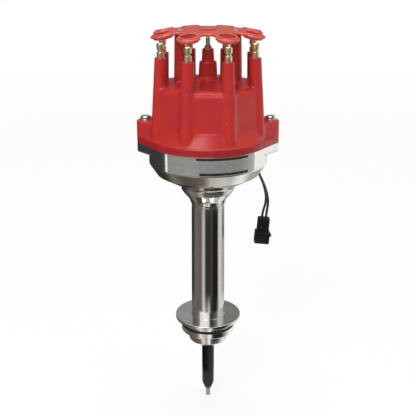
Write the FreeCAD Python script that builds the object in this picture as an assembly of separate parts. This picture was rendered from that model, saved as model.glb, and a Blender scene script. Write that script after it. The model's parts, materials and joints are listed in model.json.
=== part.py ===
import FreeCAD, Part
import math
import os

# Ignition distributor with an eight-cylinder cap, in millimetres.
# The origin is on the shaft's axis at the underside of the mounting flange,
# where the housing seats on the engine block. +Z points up to the cap, and
# -Y is the front. Heights are stacked from the driving dimensions below.

V = FreeCAD.Vector
UP = V(0, 0, 1)

# Driving dimensions of the housing
flange_r = 29.2
flange_t = 3.0
pilot_r = 24.0
pilot_len = 12.0
pilot_edge = 0.6
lower_pilot_r = 17.1
lower_pilot_len = 10.2
lower_pilot_edge = 1.0
ring_groove_drop = 4.2
ring_section_r = 1.2
ring_groove_depth = 2.4
tube_r_bottom = 14.75
tube_r_top = 14.2
tube_len = 105.0
tube_fillet = 1.5
tube_bore_r = 9.0
neck_h = 14.2
neck_r = 14.9
neck_groove = 1.2
neck_groove_top = 2.0
neck_flare = 1.2
neck_flare_share = 0.42
neck_sweep_r = 6.0
collar_r = 22.8
collar_h = 4.0
collar_groove = 1.6
under_h = 11.2
bowl_r = 49.75
bowl_chamfer_w = 6.25
bowl_chamfer_h = 9.5
bowl_side_h = 16.6
bowl_wall = 3.25
bowl_floor_t = 3.6
bowl_lug_h = 7.5
bowl_slope_w = 5.0
bowl_slope_lift = 2.1

# Ears that carry the cap's two screws, so far outside the bowl
lug_out = 0.75
lug_r = 9.0
cap_screw_out = 2.25
cap_screw_r = 2.0
thread_clearance = 0.03
hole_clearance = 0.35

# Shaft, bushing and bearing
shaft_r = 5.55
shaft_below_pilot = 46.4
shaft_relief = 0.25
shaft_relief_len = 1.5
taper_len = 5.8
tongue_len = 7.2
tongue_t = 3.9
tongue_edge = 0.5
running_gap = 0.03
bushing_wall = 2.45
bushing_len = 30.0
bushing_inset = 2.2
bearing_bore_r = 6.0
bearing_r = 14.0
bearing_w = 8.0
ball_r = 2.38
ball_count = 8
ball_gap = 0.1
race_t = 2.1
shield_t = 0.4
cage_t = 2.0
cage_gap = 0.4
snap_ring_t = 1.2
snap_ring_depth = 0.9
snap_ring_w = 2.6
snap_ring_gap = 6.0
snap_ring_seat = 1.2
shaft_step_below = 5.0
shaft_step_h = 1.0
shaft_ring_depth = 0.6
shaft_ring_out = 1.6
shaft_ring_gap = 4.0
shoulder_r = 8.0
shoulder_h = 1.6
journal_r = 4.75
cam_seat_r = 4.15
cam_flat = 3.35
washer_t = 0.8
seat_gap = 0.3

# Advance mechanism, on and above the sleeve
sleeve_wall = 2.7
plate_drop = 3.5
plate_t = 2.2
layer_gap = 0.4
plate_hub_r = 13.0
plate_arm_r = 9.0
cam_t = 4.0
cam_hub_r = 7.0
cam_slot_wall = 1.8
lobe_x = 10.0
lobe_y = 3.5
lobe_r = 3.0
stop_ring_r = 12.5
stop_angle = 14.0
stop_bushing_r = 2.2
stop_pin_r = 1.3
stop_head_t = 0.8
weight_pin_x = 17.5
weight_pin_y = 10.0
weight_pin_r = 2.0
weight_head_out = 1.2
weight_head_t = 1.0
weight_boss_r = 4.0
toe_x = 10.5
toe_y = 9.0
toe_r = 2.0
weight_middle = (21.0, -3.0)
weight_middle_r = 5.5
weight_tail = (17.0, -14.0)
weight_tail_r = 4.5
spring_post = (-9.0, -22.0)
spring_post_r = 1.2
spring_post_waist = 0.8
spring_r = 1.8
spring_wire_r = 0.4
spring_eye_len = 3.2
spring_pin_r = 1.0
standoff_y = 26.0
standoff_r = 3.2
standoff_h = 9.0
clip_t = 0.8
clip_out = 0.6
clip_gap = 3.0

# Reluctor and magnetic pickup, set out inwards from the bowl's bore
reluctor_in = 24.5
reluctor_hub_r = 11.0
reluctor_lift = 8.0
reluctor_t = 5.0
reluctor_hub_t = 9.0
reluctor_pin_r = 1.25
paddle_w = 3.6
cylinders = 8
pickup_gap = 0.6
pickup_plate_t = 1.5
pickup_plate_gap = 7.0
pickup_plate_w = 22.5
pickup_plate_half_angle = 42.0
pole_len = 2.6
pole_tail = 0.6
pole_w = 4.0
pole_t = 4.0
coil_size = 11.0
coil_len = 6.5
coil_cheek = 1.0
magnet_len = 4.5
magnet_w = 12.0
magnet_above_pole = 1.5
pickup_screw_r = 1.5
pickup_screw_in = 3.5
pickup_screw_angle = 34.0
pickup_screw_grip = 4.5
pickup_hole_deep = 5.5

# Lead, its grommet in the bowl's lower side, and its connector
lead_angle = 33.0
wire_r = 1.1
wire_spread = 1.35
grommet_r = 3.3
grommet_flange_r = 4.8
grommet_seat_out = 0.7
grommet_seat_in = 3.1
grommet_flange_t = 1.5
lead_start = 6.5
lead_exit = 4.5
connector_hang = V(11.9, 2.6, -57.25)
connector_tilt = 4.65
connector_pitch = 3.7
connector_w = 10.8
connector_d = 8.4
connector_h = 13.2
collar_w = 13.6
collar_d = 10.8
connector_foot_h = 11.0
connector_edge = 1.2
connector_end_edge = 0.7
latch_w = 5.0
latch_top = 1.0
latch_out = 1.5
latch_h = 3.6
contact_r = 1.5
contact_bore_r = 0.9
contact_len = 9.0
contact_inset = 0.8
contact_bore = 5.2
wire_entry = 3.0
wire_lead_in = 5.0

# Distributor cap, set out from the bowl's outside
lip_out = 1.45
lip_h = 6.0
lip_edge = 1.0
flare_h = 9.5
flare_inset = 0.4
cap_base_in = 4.35
cap_lug_h = 19.0
cap_lug_edge = 1.6
panel_in = 5.15
panel_lean = 1.6
cap_h = 49.8
cap_edge = 3.2
cap_wall = 5.4
cap_roof_t = 7.0
cap_bore_edge = 4.0
cap_step_low = 4.5
cap_step_high = 12.0
spigot_h = 3.0
spigot_gap = 0.3
spigot_wall = 3.2
tower_ring_in = 9.25
tower_top_r = 4.9
tower_h = 72.5
rib_foot_r = 6.4
rib_foot_in = 6.55
rib_foot_h = 11.5
tower_edge = 0.7
crown_w = 22.0
crown_h = 3.2
crown_foot = 1.0
coil_tower_r = 4.6
coil_tower_base_r = 7.0
coil_tower_over = 5.0
coil_tower_top_len = 10.0
coil_tower_step_w = 0.6
post_x = 22.6
post_foot_r = 5.3
post_top_r = 4.4
button_r = 2.9
button_len = 6.5
button_gap = 0.2
button_edge = 1.2
button_above_blade = 4.9
button_out = 3.0
button_boss_r = 6.0
button_spring_len = 3.5
button_spring_in = 0.4
button_spring_t = 0.8

# Terminals
terminal_r = 3.15
terminal_neck_r = 2.3
terminal_h = 11.3
terminal_collar_h = 4.2
terminal_neck_h = 2.2
terminal_edge = 0.6
shank_r = 1.6
electrode_len = 3.4
electrode_w = 5.0
electrode_h = 11.0
electrode_lift = 15.0
coil_post_r = 1.85
coil_foot_r = 3.2
coil_foot_h = 3.0
coil_foot_t = 0.8
coil_post_h = 12.0
coil_groove_drop = 1.8
coil_groove_w = 1.4
coil_groove_depth = 0.5
coil_root_in = 0.5

# Wire retainer, so far above the towers' tops
retainer_rise = 20.0
retainer_t = 2.0
retainer_bend_r = 6.0
retainer_flat_r = 29.5
retainer_droop = 11.0
petal_ring_r = 38.7
petal_r = 9.3
scallop_r = 29.0
petal_hole_r = 6.4
petal_rim = 1.4
petal_rim_h = 0.9
coil_hole_r = 7.5
retainer_boss_r = 5.6
retainer_boss_h = 2.5
retainer_recess_r = 3.6
retainer_recess = 1.6
retainer_screw_r = 1.75
retainer_screw_len = 12.0

# Rotor
rotor_base_r = 20.0
rotor_ear_wall = 2.4
rotor_edge = 0.8
rotor_hub_flare = 2.5
rotor_t = 3.0
rotor_arm_h = 9.0
rotor_hub_r = 10.0
rotor_arm_w = 7.0
rotor_gap = 1.5
rotor_arm_short = 4.0
rotor_arm_slope = 6.0
rotor_arm_end = 3.5
blade_w = 5.5
blade_t = 1.2
blade_tail = 6.0
contact_t = 0.5
contact_w = 4.0
contact_tail = 8.5
contact_foot = 3.5
contact_crest = 0.5
contact_tip = 2.5
contact_drop = 1.6
rotor_screw_r = 1.6
rotor_screw_grip = 7.0
rotor_angle = -67.5

# Screw heads
cap_head_r = 4.2
cap_head_h = 2.6
cap_washer_t = 0.8
cap_washer_r = 5.0
small_head_r = 3.0
small_head_h = 2.0

# Heights, all stacked from the seat at zero
pilot_bottom = -pilot_len - lower_pilot_len
tube_top = flange_t + tube_len
collar_z = tube_top + neck_h
bowl_ring_z = collar_z + collar_h + under_h
bowl_ring_r = bowl_r - bowl_chamfer_w
bowl_side_z = bowl_ring_z + bowl_chamfer_h
rim_z = bowl_side_z + bowl_side_h
floor_z = bowl_ring_z + bowl_floor_t
bearing_top = floor_z - snap_ring_seat - snap_ring_t
bearing_bottom = bearing_top - bearing_w
bearing_mid = bearing_top - bearing_w / 2
taper_z = pilot_bottom - shaft_below_pilot
tongue_z = taper_z - taper_len
tip_z = tongue_z - tongue_len
shoulder_top = bearing_top + shoulder_h
washer_top = shoulder_top + washer_t
sleeve_bottom = washer_top + seat_gap
plate_z = rim_z - plate_drop
plate_top = plate_z + plate_t
cam_z = plate_top + layer_gap
cam_top = cam_z + cam_t
spring_z = cam_top + spring_r + seat_gap
standoff_top = plate_top + standoff_h
rotor_top = standoff_top + rotor_t
arm_top = rotor_top + rotor_arm_h
blade_top = arm_top + blade_t
reluctor_z = floor_z + reluctor_lift
cap_side_z = rim_z + lip_h
cap_base_z = cap_side_z + flare_h
cap_lug_top = rim_z + cap_lug_h
cap_top = rim_z + cap_h
cap_roof = cap_top - cap_roof_t
tower_top = rim_z + tower_h
coil_tower_top = tower_top + coil_tower_over
coil_step_z = coil_tower_top - coil_tower_top_len
retainer_top = tower_top + retainer_rise
retainer_bottom = retainer_top - retainer_t
post_top = retainer_bottom - retainer_boss_h
electrode_bottom = rim_z + electrode_lift
button_bottom = blade_top + button_above_blade
button_top = button_bottom + button_len
button_boss_bottom = button_bottom + button_out
button_spring_top = button_top + button_spring_len

# Radii and places set out from the bowl
lug_x = bowl_r + lug_out
cap_screw_x = bowl_r + cap_screw_out
lip_r = bowl_r + lip_out
cap_base_r = bowl_r - cap_base_in
panel_bottom = bowl_r - panel_in
panel_top = panel_bottom - panel_lean
cap_bore_r = panel_top - cap_wall
tower_ring_r = bowl_r - tower_ring_in
rib_foot_ring = bowl_r - rib_foot_in
electrode_r = tower_ring_r - electrode_len
bowl_bore_r = bowl_r - bowl_wall
reluctor_r = bowl_bore_r - reluctor_in
pickup_plate_out = bowl_bore_r - pickup_plate_gap
pickup_plate_in = pickup_plate_out - pickup_plate_w
pickup_screw_ring = pickup_plate_out - pickup_screw_in
ball_ring_r = (bearing_bore_r + bearing_r) / 2

# Angles of the eight towers about the axis, counted from +X
tower_angles = [360.0 / cylinders * (k + 0.5) for k in range(cylinders)]


def vector_at(radius, angle, z):
    turn = math.radians(angle)
    return V(radius * math.cos(turn), radius * math.sin(turn), z)


def around(shape, angle):
    """A copy turned about the shaft's axis."""
    copy = shape.copy()
    copy.rotate(V(0, 0, 0), UP, angle)
    return copy


def rod(radius, z0, z1, x=0.0, y=0.0):
    return Part.makeCylinder(radius, z1 - z0, V(x, y, z0))


def tube(outer, inner, z0, z1, x=0.0, y=0.0):
    return rod(outer, z0, z1, x, y).cut(rod(inner, z0 - 1, z1 + 1, x, y))


def block(x0, x1, y0, y1, z0, z1):
    return Part.makeBox(x1 - x0, y1 - y0, z1 - z0, V(x0, y0, z0))


def fuse_all(shapes):
    body = shapes[0]
    for shape in shapes[1:]:
        body = body.fuse(shape)
    return body.removeSplitter()


def rounded_wire(points, to_vector):
    """A closed wire through (a, b) or (a, b, corner radius) points."""
    corners = []
    for index, point in enumerate(points):
        here = to_vector(point)
        radius = point[2] if len(point) > 2 else 0.0
        if not radius:
            corners.append((here, None, here))
            continue
        back = (to_vector(points[index - 1]) - here).normalize()
        ahead = (to_vector(points[(index + 1) % len(points)]) - here).normalize()
        half = back.getAngle(ahead) / 2
        reach = radius / math.tan(half)
        inward = (back + ahead).normalize()
        middle = here + inward * (radius / math.sin(half) - radius)
        corners.append((here + back * reach, middle, here + ahead * reach))
    edges = []
    for index, (start, middle, end) in enumerate(corners):
        last = corners[index - 1][2]
        if (start - last).Length > 1e-6:
            edges.append(Part.makeLine(last, start))
        if middle is not None:
            edges.append(Part.Arc(start, middle, end).toShape())
    return Part.Wire(edges)


def turned(*points):
    """A solid turned about Z from (radius, z) or (radius, z, corner radius) points."""
    wire = rounded_wire(points, lambda p: V(p[0], 0, p[1]))
    return Part.Face(wire).revolve(V(0, 0, 0), UP, 360)


def plan(points, z0, z1):
    """A plate from (x, y) or (x, y, corner radius) points."""
    wire = rounded_wire(points, lambda p: V(p[0], p[1], z0))
    return Part.Face(wire).extrude(V(0, 0, z1 - z0))


def link(start, start_r, end, end_r, z0, z1):
    """A plate whose outline is drawn tight round two discs."""
    a = V(start[0], start[1], z0)
    b = V(end[0], end[1], z0)
    along = math.atan2(b.y - a.y, b.x - a.x)
    open_angle = math.acos((start_r - end_r) / (b - a).Length)

    def rim(centre, radius, angle):
        return centre + V(radius * math.cos(angle), radius * math.sin(angle), 0)

    left = along + open_angle
    right = along - open_angle
    edges = [
        Part.makeLine(rim(a, start_r, left), rim(b, end_r, left)),
        Part.Arc(rim(b, end_r, left), rim(b, end_r, along), rim(b, end_r, right)).toShape(),
        Part.makeLine(rim(b, end_r, right), rim(a, start_r, right)),
        Part.Arc(
            rim(a, start_r, right), rim(a, start_r, along + math.pi), rim(a, start_r, left)
        ).toShape(),
    ]
    return Part.Face(Part.Wire(edges)).extrude(V(0, 0, z1 - z0))


def oval(body_r, z0, z1):
    """The plan of the rim with its two screw ears, as one plate."""
    right = link((0, 0), body_r, (lug_x, 0), lug_r, z0, z1)
    return fuse_all([right, around(right, 180)])


def edges_at(shape, z):
    """The edges that lie wholly at one height."""
    return [
        edge
        for edge in shape.Edges
        if abs(edge.BoundBox.ZMin - z) < 1e-3 and abs(edge.BoundBox.ZMax - z) < 1e-3
    ]


def polar(shape, angles):
    return [around(shape, angle) for angle in angles]


def pan_screw(radius, length, head_r, head_h, seat_z, x, y):
    """A pan-head screw standing on seat_z, its shank pointing down."""
    screw = turned(
        (0, seat_z - length),
        (radius * 0.7, seat_z - length),
        (radius, seat_z - length + radius * 0.3),
        (radius, seat_z),
        (head_r, seat_z),
        (head_r, seat_z + head_h, head_h * 0.5),
        (0, seat_z + head_h),
    )
    slot = block(-head_r, head_r, -head_r * 0.13, head_r * 0.13, seat_z + head_h * 0.55, seat_z + head_h + 1)
    screw = screw.cut(slot)
    screw.translate(V(x, y, 0))
    return screw


# Grommet's own frame: it lies on the bowl's chamfer, with its axis square to it
def grommet_frame():
    """The place on the chamfer's outside where the lead leaves, and the way out."""
    chamfer_r = bowl_r - bowl_ring_r
    length = math.hypot(chamfer_r, bowl_chamfer_h)
    middle = vector_at((bowl_ring_r + bowl_r) / 2, lead_angle, bowl_ring_z + bowl_chamfer_h / 2)
    side = vector_at(bowl_chamfer_h / length, lead_angle, 0)
    return middle, V(side.x, side.y, -chamfer_r / length)


def grommet_rod(radius, inner, outer):
    """A disc on the grommet's axis, from inner to outer along the way out."""
    middle, out = grommet_frame()
    return Part.makeCylinder(radius, outer - inner, middle + out * inner, out)


def bowl_lugs():
    lug = link((0, 0), bowl_bore_r + bowl_wall / 3, (lug_x, 0), lug_r, rim_z - bowl_lug_h, rim_z)
    return fuse_all([lug, around(lug, 180)])


def housing():
    groove_top = -ring_groove_drop
    groove_bottom = groove_top - 2 * ring_section_r - 0.2
    body = turned(
        (0, pilot_bottom),
        (lower_pilot_r - lower_pilot_edge, pilot_bottom),
        (lower_pilot_r, pilot_bottom + lower_pilot_edge),
        (lower_pilot_r, -pilot_len),
        (pilot_r - pilot_edge, -pilot_len),
        (pilot_r, -pilot_len + pilot_edge),
        (pilot_r, groove_bottom),
        (pilot_r - ring_groove_depth, groove_bottom),
        (pilot_r - ring_groove_depth, groove_top),
        (pilot_r, groove_top),
        (pilot_r, 0),
        (flange_r, 0, 0.3),
        (flange_r, flange_t, 0.4),
        (tube_r_bottom, flange_t, tube_fillet),
        (tube_r_top, tube_top),
        (neck_r - neck_groove, tube_top + 0.4),
        (neck_r - neck_groove, tube_top + neck_groove_top),
        (neck_r, tube_top + neck_groove_top + 0.2),
        (neck_r + neck_flare, tube_top + neck_h * neck_flare_share, neck_sweep_r),
        (collar_r - 1.2, collar_z - collar_groove),
        (collar_r - collar_groove, collar_z - collar_groove + 0.2),
        (collar_r - collar_groove, collar_z),
        (collar_r, collar_z, 0.4),
        (collar_r, collar_z + collar_h, 2.0),
        (bowl_ring_r, bowl_ring_z, 0.5),
        (bowl_r, bowl_side_z, 0.6),
        (bowl_r, rim_z),
        (0, rim_z),
    )
    body = body.fuse(bowl_lugs())
    inside = turned(
        (0, floor_z),
        (bowl_bore_r - bowl_slope_w, floor_z, 1.0),
        (bowl_bore_r, bowl_side_z + bowl_slope_lift, 1.0),
        (bowl_bore_r, rim_z + 1),
        (0, rim_z + 1),
    )
    bore = fuse_all(
        [
            rod(bearing_r, bearing_bottom, floor_z + 1),
            rod(bearing_r + snap_ring_depth, bearing_top, bearing_top + snap_ring_t),
            rod(bearing_r - race_t - 0.4, bearing_bottom - 5, floor_z),
            rod(tube_bore_r, pilot_bottom + bushing_inset + bushing_len, floor_z),
            rod(shaft_r + running_gap + bushing_wall, pilot_bottom - 1, floor_z),
        ]
    )
    body = body.cut(inside).cut(bore)
    for side in (-1, 1):
        hole = rod(cap_screw_r + thread_clearance, rim_z - bowl_lug_h - 1, rim_z + 1, side * cap_screw_x)
        body = body.cut(hole)
    for place in pickup_screw_places():
        thread_r = pickup_screw_r + thread_clearance
        body = body.cut(rod(thread_r, floor_z - pickup_hole_deep, floor_z + 1, place.x, place.y))
    body = body.cut(grommet_rod(grommet_r, -grommet_seat_in - 1, 1))
    body = body.cut(grommet_rod(grommet_flange_r + seat_gap, -grommet_seat_out, 4))
    return body.cut(grommet_rod(grommet_flange_r + seat_gap, -grommet_seat_in - 4, -grommet_seat_in))


def pilot_o_ring():
    middle_z = -ring_groove_drop - ring_section_r - 0.1
    return Part.makeTorus(pilot_r - ring_section_r, ring_section_r, V(0, 0, middle_z), UP)


def lower_bushing():
    bottom = pilot_bottom + bushing_inset
    inner = shaft_r + running_gap
    return tube(inner + bushing_wall, inner, bottom, bottom + bushing_len)


def ball_groove():
    return Part.makeTorus(ball_ring_r, ball_r + ball_gap, V(0, 0, bearing_mid), UP)


def bearing_outer_race():
    return tube(bearing_r, bearing_r - race_t, bearing_bottom, bearing_top).cut(ball_groove())


def bearing_inner_race():
    return tube(bearing_bore_r + race_t, bearing_bore_r, bearing_bottom, bearing_top).cut(ball_groove())


def bearing_shields():
    inner = bearing_bore_r + race_t + seat_gap
    low = tube(bearing_r - race_t, inner, bearing_bottom + 0.2, bearing_bottom + 0.2 + shield_t)
    high = tube(bearing_r - race_t, inner, bearing_top - 0.2 - shield_t, bearing_top - 0.2)
    return Part.makeCompound([low, high])


def ball_places():
    return [vector_at(ball_ring_r, 360.0 / ball_count * k, bearing_mid) for k in range(ball_count)]


def bearing_balls():
    return Part.makeCompound([Part.makeSphere(ball_r, place) for place in ball_places()])


def bearing_cage():
    half = bearing_w / 2 - 0.2 - shield_t - cage_gap
    cage = tube(ball_ring_r + cage_t / 2, ball_ring_r - cage_t / 2, bearing_mid - half, bearing_mid + half)
    for place in ball_places():
        outward = V(place.x, place.y, 0).normalize()
        pocket = Part.makeCylinder(ball_r + ball_gap, 2 * cage_t, place - outward * cage_t, outward)
        cage = cage.cut(pocket)
    return cage


def open_ring(outer, inner, z0, z1, gap):
    """A snap ring, open at the back by the gap."""
    return tube(outer, inner, z0, z1).cut(block(-gap / 2, gap / 2, 0, outer + 1, z0 - 1, z1 + 1))


def bearing_snap_ring():
    outer = bearing_r + snap_ring_depth
    return open_ring(outer, outer - snap_ring_w, bearing_top, bearing_top + snap_ring_t, snap_ring_gap)


def shaft_snap_ring():
    outer = bearing_bore_r + shaft_ring_out
    inner = bearing_bore_r - shaft_ring_depth
    return open_ring(outer, inner, bearing_bottom - snap_ring_t, bearing_bottom, shaft_ring_gap)


def main_shaft():
    """The drive end, a relief just inside the pilot, the long journal, and the seats above."""
    relief_r = shaft_r - shaft_relief
    step_z = bearing_bottom - shaft_step_below
    ring_r = bearing_bore_r - shaft_ring_depth
    shaft_end = cam_top + clip_t + clip_t
    shaft = turned(
        (0, tip_z),
        (relief_r, tip_z),
        (relief_r, taper_z),
        (shaft_r, taper_z),
        (shaft_r, pilot_bottom),
        (relief_r, pilot_bottom),
        (relief_r, pilot_bottom + shaft_relief_len),
        (shaft_r, pilot_bottom + shaft_relief_len),
        (shaft_r, step_z - shaft_step_h, 0.2),
        (bearing_bore_r, step_z),
        (bearing_bore_r, bearing_bottom - snap_ring_t),
        (ring_r, bearing_bottom - snap_ring_t),
        (ring_r, bearing_bottom),
        (bearing_bore_r, bearing_bottom),
        (bearing_bore_r, bearing_top),
        (shoulder_r, bearing_top),
        (shoulder_r, shoulder_top),
        (journal_r, shoulder_top),
        (journal_r, cam_z),
        (cam_seat_r, cam_z),
        (cam_seat_r, cam_top),
        (cam_flat, cam_top),
        (cam_flat, cam_top + clip_t),
        (cam_seat_r, cam_top + clip_t),
        (cam_seat_r, shaft_end, 0.3),
        (0, shaft_end),
    )
    half = tongue_t / 2
    wide = shaft_r + 1
    for side in (-1, 1):
        flat = Part.makePolygon(
            [
                V(side * half, -wide, tip_z - 1),
                V(side * half, -wide, tip_z - 1 + tongue_len + 1),
                V(side * relief_r, -wide, taper_z),
                V(side * wide, -wide, taper_z),
                V(side * wide, -wide, tip_z - 1),
                V(side * half, -wide, tip_z - 1),
            ]
        )
        shaft = shaft.cut(Part.Face(flat).extrude(V(0, 2 * wide, 0)))
    shaft = shaft.cut(block(cam_flat, journal_r, -journal_r, journal_r, cam_z, shaft_end + 1))
    tip_edges = [edge for edge in edges_at(shaft, tip_z) if edge.Length > tongue_t + 1]
    return shaft.makeChamfer(tongue_edge, tip_edges)


def thrust_washer():
    return tube(shoulder_r - 0.2, journal_r + running_gap, shoulder_top, washer_top)


def advance_cam():
    lobes = fuse_all(
        [
            rod(cam_hub_r, cam_z, cam_top),
            link((0, 0), cam_hub_r - 1, (lobe_x, lobe_y), lobe_r, cam_z, cam_top),
            link((0, 0), cam_hub_r - 1, (-lobe_x, -lobe_y), lobe_r, cam_z, cam_top),
            stop_arc(stop_bushing_r + seat_gap + cam_slot_wall, cam_z, cam_top),
            link((0, 0), cam_hub_r, (0, -stop_ring_r + stop_bushing_r), weight_boss_r, cam_z, cam_top),
        ]
    )
    cam = lobes.cut(stop_arc(stop_bushing_r + seat_gap, cam_z - 1, cam_top + 1))
    seat = rod(cam_seat_r, cam_z - 1, cam_top + 1)
    flat = block(cam_flat, journal_r, -journal_r, journal_r, cam_z - 1, cam_top + 1)
    return cam.cut(seat.cut(flat))


def stop_arc(half_width, z0, z1):
    """The stop slot's plan: the stop pin's path over the advance, so much to each side."""
    low = stop_ring_r - half_width
    high = stop_ring_r + half_width
    sector = tube(high, low, z0, z1)
    start = -90.0
    wide = 3 * stop_ring_r
    wedge = plan(
        [
            (0, 0),
            (wide * math.cos(math.radians(start)), wide * math.sin(math.radians(start))),
            (
                wide * math.cos(math.radians(start + stop_angle)),
                wide * math.sin(math.radians(start + stop_angle)),
            ),
        ],
        z0,
        z1,
    )
    first = vector_at(stop_ring_r, start, 0)
    last = vector_at(stop_ring_r, start + stop_angle, 0)
    ends = [rod(half_width, z0, z1, first.x, first.y), rod(half_width, z0, z1, last.x, last.y)]
    return fuse_all([sector.common(wedge)] + ends)


def cam_clip():
    return open_ring(journal_r + clip_out, cam_flat, cam_top, cam_top + clip_t, clip_gap)


def advance_sleeve():
    sleeve = tube(journal_r + running_gap + sleeve_wall, journal_r + running_gap, sleeve_bottom, plate_top)
    return sleeve.cut(reluctor_pin_hole())


def reluctor_pin_z():
    return reluctor_z + (reluctor_hub_t + reluctor_t) / 2


def reluctor_pin_hole():
    z = reluctor_pin_z()
    return Part.makeCylinder(reluctor_pin_r, reluctor_hub_r + 1, V(0, 0, z), V(1, 0, 0))


def reluctor_pin():
    z = reluctor_pin_z()
    start = journal_r + running_gap + seat_gap
    return Part.makeCylinder(reluctor_pin_r, reluctor_hub_r - start, V(start, 0, z), V(1, 0, 0))


def reluctor():
    outer_sleeve = journal_r + running_gap + sleeve_wall
    arm = block(0, reluctor_r + 1, -paddle_w / 2, paddle_w / 2, reluctor_z, reluctor_z + reluctor_t)
    star = fuse_all([rod(reluctor_hub_r, reluctor_z, reluctor_z + reluctor_t)] + polar(arm, tower_angles))
    star = star.common(rod(reluctor_r, reluctor_z, reluctor_z + reluctor_t))
    hub = rod(reluctor_hub_r, reluctor_z, reluctor_z + reluctor_hub_t)
    body = fuse_all([star, hub]).cut(rod(outer_sleeve, reluctor_z - 1, reluctor_z + reluctor_hub_t + 1))
    return body.cut(reluctor_pin_hole())


def advance_plate():
    arms = [rod(plate_hub_r, plate_z, plate_top)]
    for turn in (0, 180):
        for end, end_r in (
            ((weight_pin_x, weight_pin_y), weight_boss_r + 1),
            ((0, standoff_y), standoff_r + 1.5),
            (spring_post, spring_post_r + 2),
            (weight_tail, weight_tail_r),
        ):
            arms.append(around(link((0, 0), plate_arm_r, end, end_r, plate_z, plate_top), turn))
    plate = fuse_all(arms)
    plate = plate.cut(rod(journal_r + running_gap + sleeve_wall, plate_z - 1, plate_top + 1))
    for turn in (0, 180):
        holes = [
            rod(weight_pin_r, plate_z - 1, plate_top + 1, weight_pin_x, weight_pin_y),
            rod(spring_post_r, plate_z - 1, plate_top + 1, *spring_post),
            rod(rotor_screw_r, plate_z - 1, plate_top + 1, 0, standoff_y),
        ]
        for hole in holes:
            plate = plate.cut(around(hole, turn))
    return plate.cut(rod(stop_pin_r, plate_z - 1, plate_top + 1, 0, -stop_ring_r))


def weight_pins():
    head_z = cam_top + seat_gap
    pin = rod(weight_pin_r, plate_z, head_z, weight_pin_x, weight_pin_y)
    head = rod(weight_pin_r + weight_head_out, head_z, head_z + weight_head_t, weight_pin_x, weight_pin_y)
    pin = fuse_all([pin, head])
    return Part.makeCompound([pin, around(pin, 180)])


def stop_pin():
    head_z = cam_top + seat_gap
    return fuse_all(
        [
            rod(stop_pin_r, plate_z, head_z, 0, -stop_ring_r),
            rod(stop_bushing_r, head_z, head_z + stop_head_t, 0, -stop_ring_r),
        ]
    )


def stop_bushing():
    return tube(stop_bushing_r, stop_pin_r, plate_top, cam_top + seat_gap, 0, -stop_ring_r)


def spring_posts():
    top = spring_z + spring_r
    post = rod(spring_post_r, plate_z, top, *spring_post)
    low = spring_z - spring_wire_r
    high = spring_z + spring_wire_r
    post = post.cut(tube(spring_post_r + 1, spring_post_waist, low, high, *spring_post))
    return Part.makeCompound([post, around(post, 180)])


def weight():
    top = cam_top
    body = fuse_all(
        [
            link((weight_pin_x, weight_pin_y), weight_boss_r, (toe_x, toe_y), toe_r, cam_z, top),
            link((weight_pin_x, weight_pin_y), weight_boss_r, weight_middle, weight_middle_r, cam_z, top),
            link(weight_middle, weight_middle_r, weight_tail, weight_tail_r, cam_z, top),
            rod(spring_pin_r, cam_z, spring_z + spring_r, *weight_tail),
        ]
    )
    return body.cut(rod(weight_pin_r + running_gap * 2, cam_z - 1, top + 1, weight_pin_x, weight_pin_y))


def weight_a():
    return weight()


def weight_b():
    return around(weight(), 180)


def advance_spring():
    """A closed-coil tension spring as its outer sleeve, with an eye at each end."""
    start = V(spring_post[0], spring_post[1], spring_z)
    end = V(weight_tail[0], weight_tail[1], spring_z)
    along = (end - start).normalize()
    length = (end - start).Length
    post_eye_r = spring_post_waist + spring_wire_r
    pin_eye_r = spring_pin_r + spring_wire_r
    coils_len = length - 2 * spring_eye_len
    coils = Part.makeCylinder(spring_r, coils_len, start + along * spring_eye_len, along)
    eyes = [
        Part.makeTorus(post_eye_r, spring_wire_r, start, UP),
        Part.makeTorus(pin_eye_r, spring_wire_r, end, UP),
        Part.makeCylinder(spring_wire_r, spring_eye_len, start + along * post_eye_r, along),
        Part.makeCylinder(spring_wire_r, spring_eye_len, end - along * pin_eye_r, along * -1),
    ]
    return fuse_all([coils] + eyes)


def advance_spring_a():
    return advance_spring()


def advance_spring_b():
    return around(advance_spring(), 180)


def rotor_standoffs():
    post = tube(standoff_r, rotor_screw_r + thread_clearance, plate_top, standoff_top, 0, standoff_y)
    return Part.makeCompound([post, around(post, 180)])


def blade_reach():
    return electrode_r - rotor_gap


def rotor():
    ear_r = standoff_r + rotor_ear_wall
    base = fuse_all(
        [
            link((0, 0), rotor_base_r, (0, side * standoff_y), ear_r, standoff_top, rotor_top)
            for side in (-1, 1)
        ]
    )
    base = base.makeFillet(rotor_edge, edges_at(base, rotor_top))
    hub = turned(
        (0, rotor_top - 1),
        (rotor_hub_r + rotor_hub_flare, rotor_top - 1),
        (rotor_hub_r, arm_top, 0.6),
        (0, arm_top),
    )
    tip = blade_reach() - rotor_arm_short
    profile = Part.makePolygon(
        [
            V(0, -rotor_arm_w / 2, rotor_top - 1),
            V(tip - rotor_arm_slope, -rotor_arm_w / 2, rotor_top - 1),
            V(tip, -rotor_arm_w / 2, arm_top - rotor_arm_end),
            V(tip, -rotor_arm_w / 2, arm_top),
            V(0, -rotor_arm_w / 2, arm_top),
            V(0, -rotor_arm_w / 2, rotor_top - 1),
        ]
    )
    arm = Part.Face(profile).extrude(V(0, rotor_arm_w, 0))
    body = fuse_all([base, around(fuse_all([hub, arm]), rotor_angle)])
    for side in (-1, 1):
        hole = rod(rotor_screw_r + hole_clearance, standoff_top - 1, rotor_top + 1, 0, side * standoff_y)
        body = body.cut(hole)
    return body


def rotor_blade():
    tip = blade_reach()
    strip = link((-blade_tail, 0), blade_w / 2, (tip - blade_w / 2, 0), blade_w / 2, arm_top, blade_top)
    return around(strip, rotor_angle)


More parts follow.
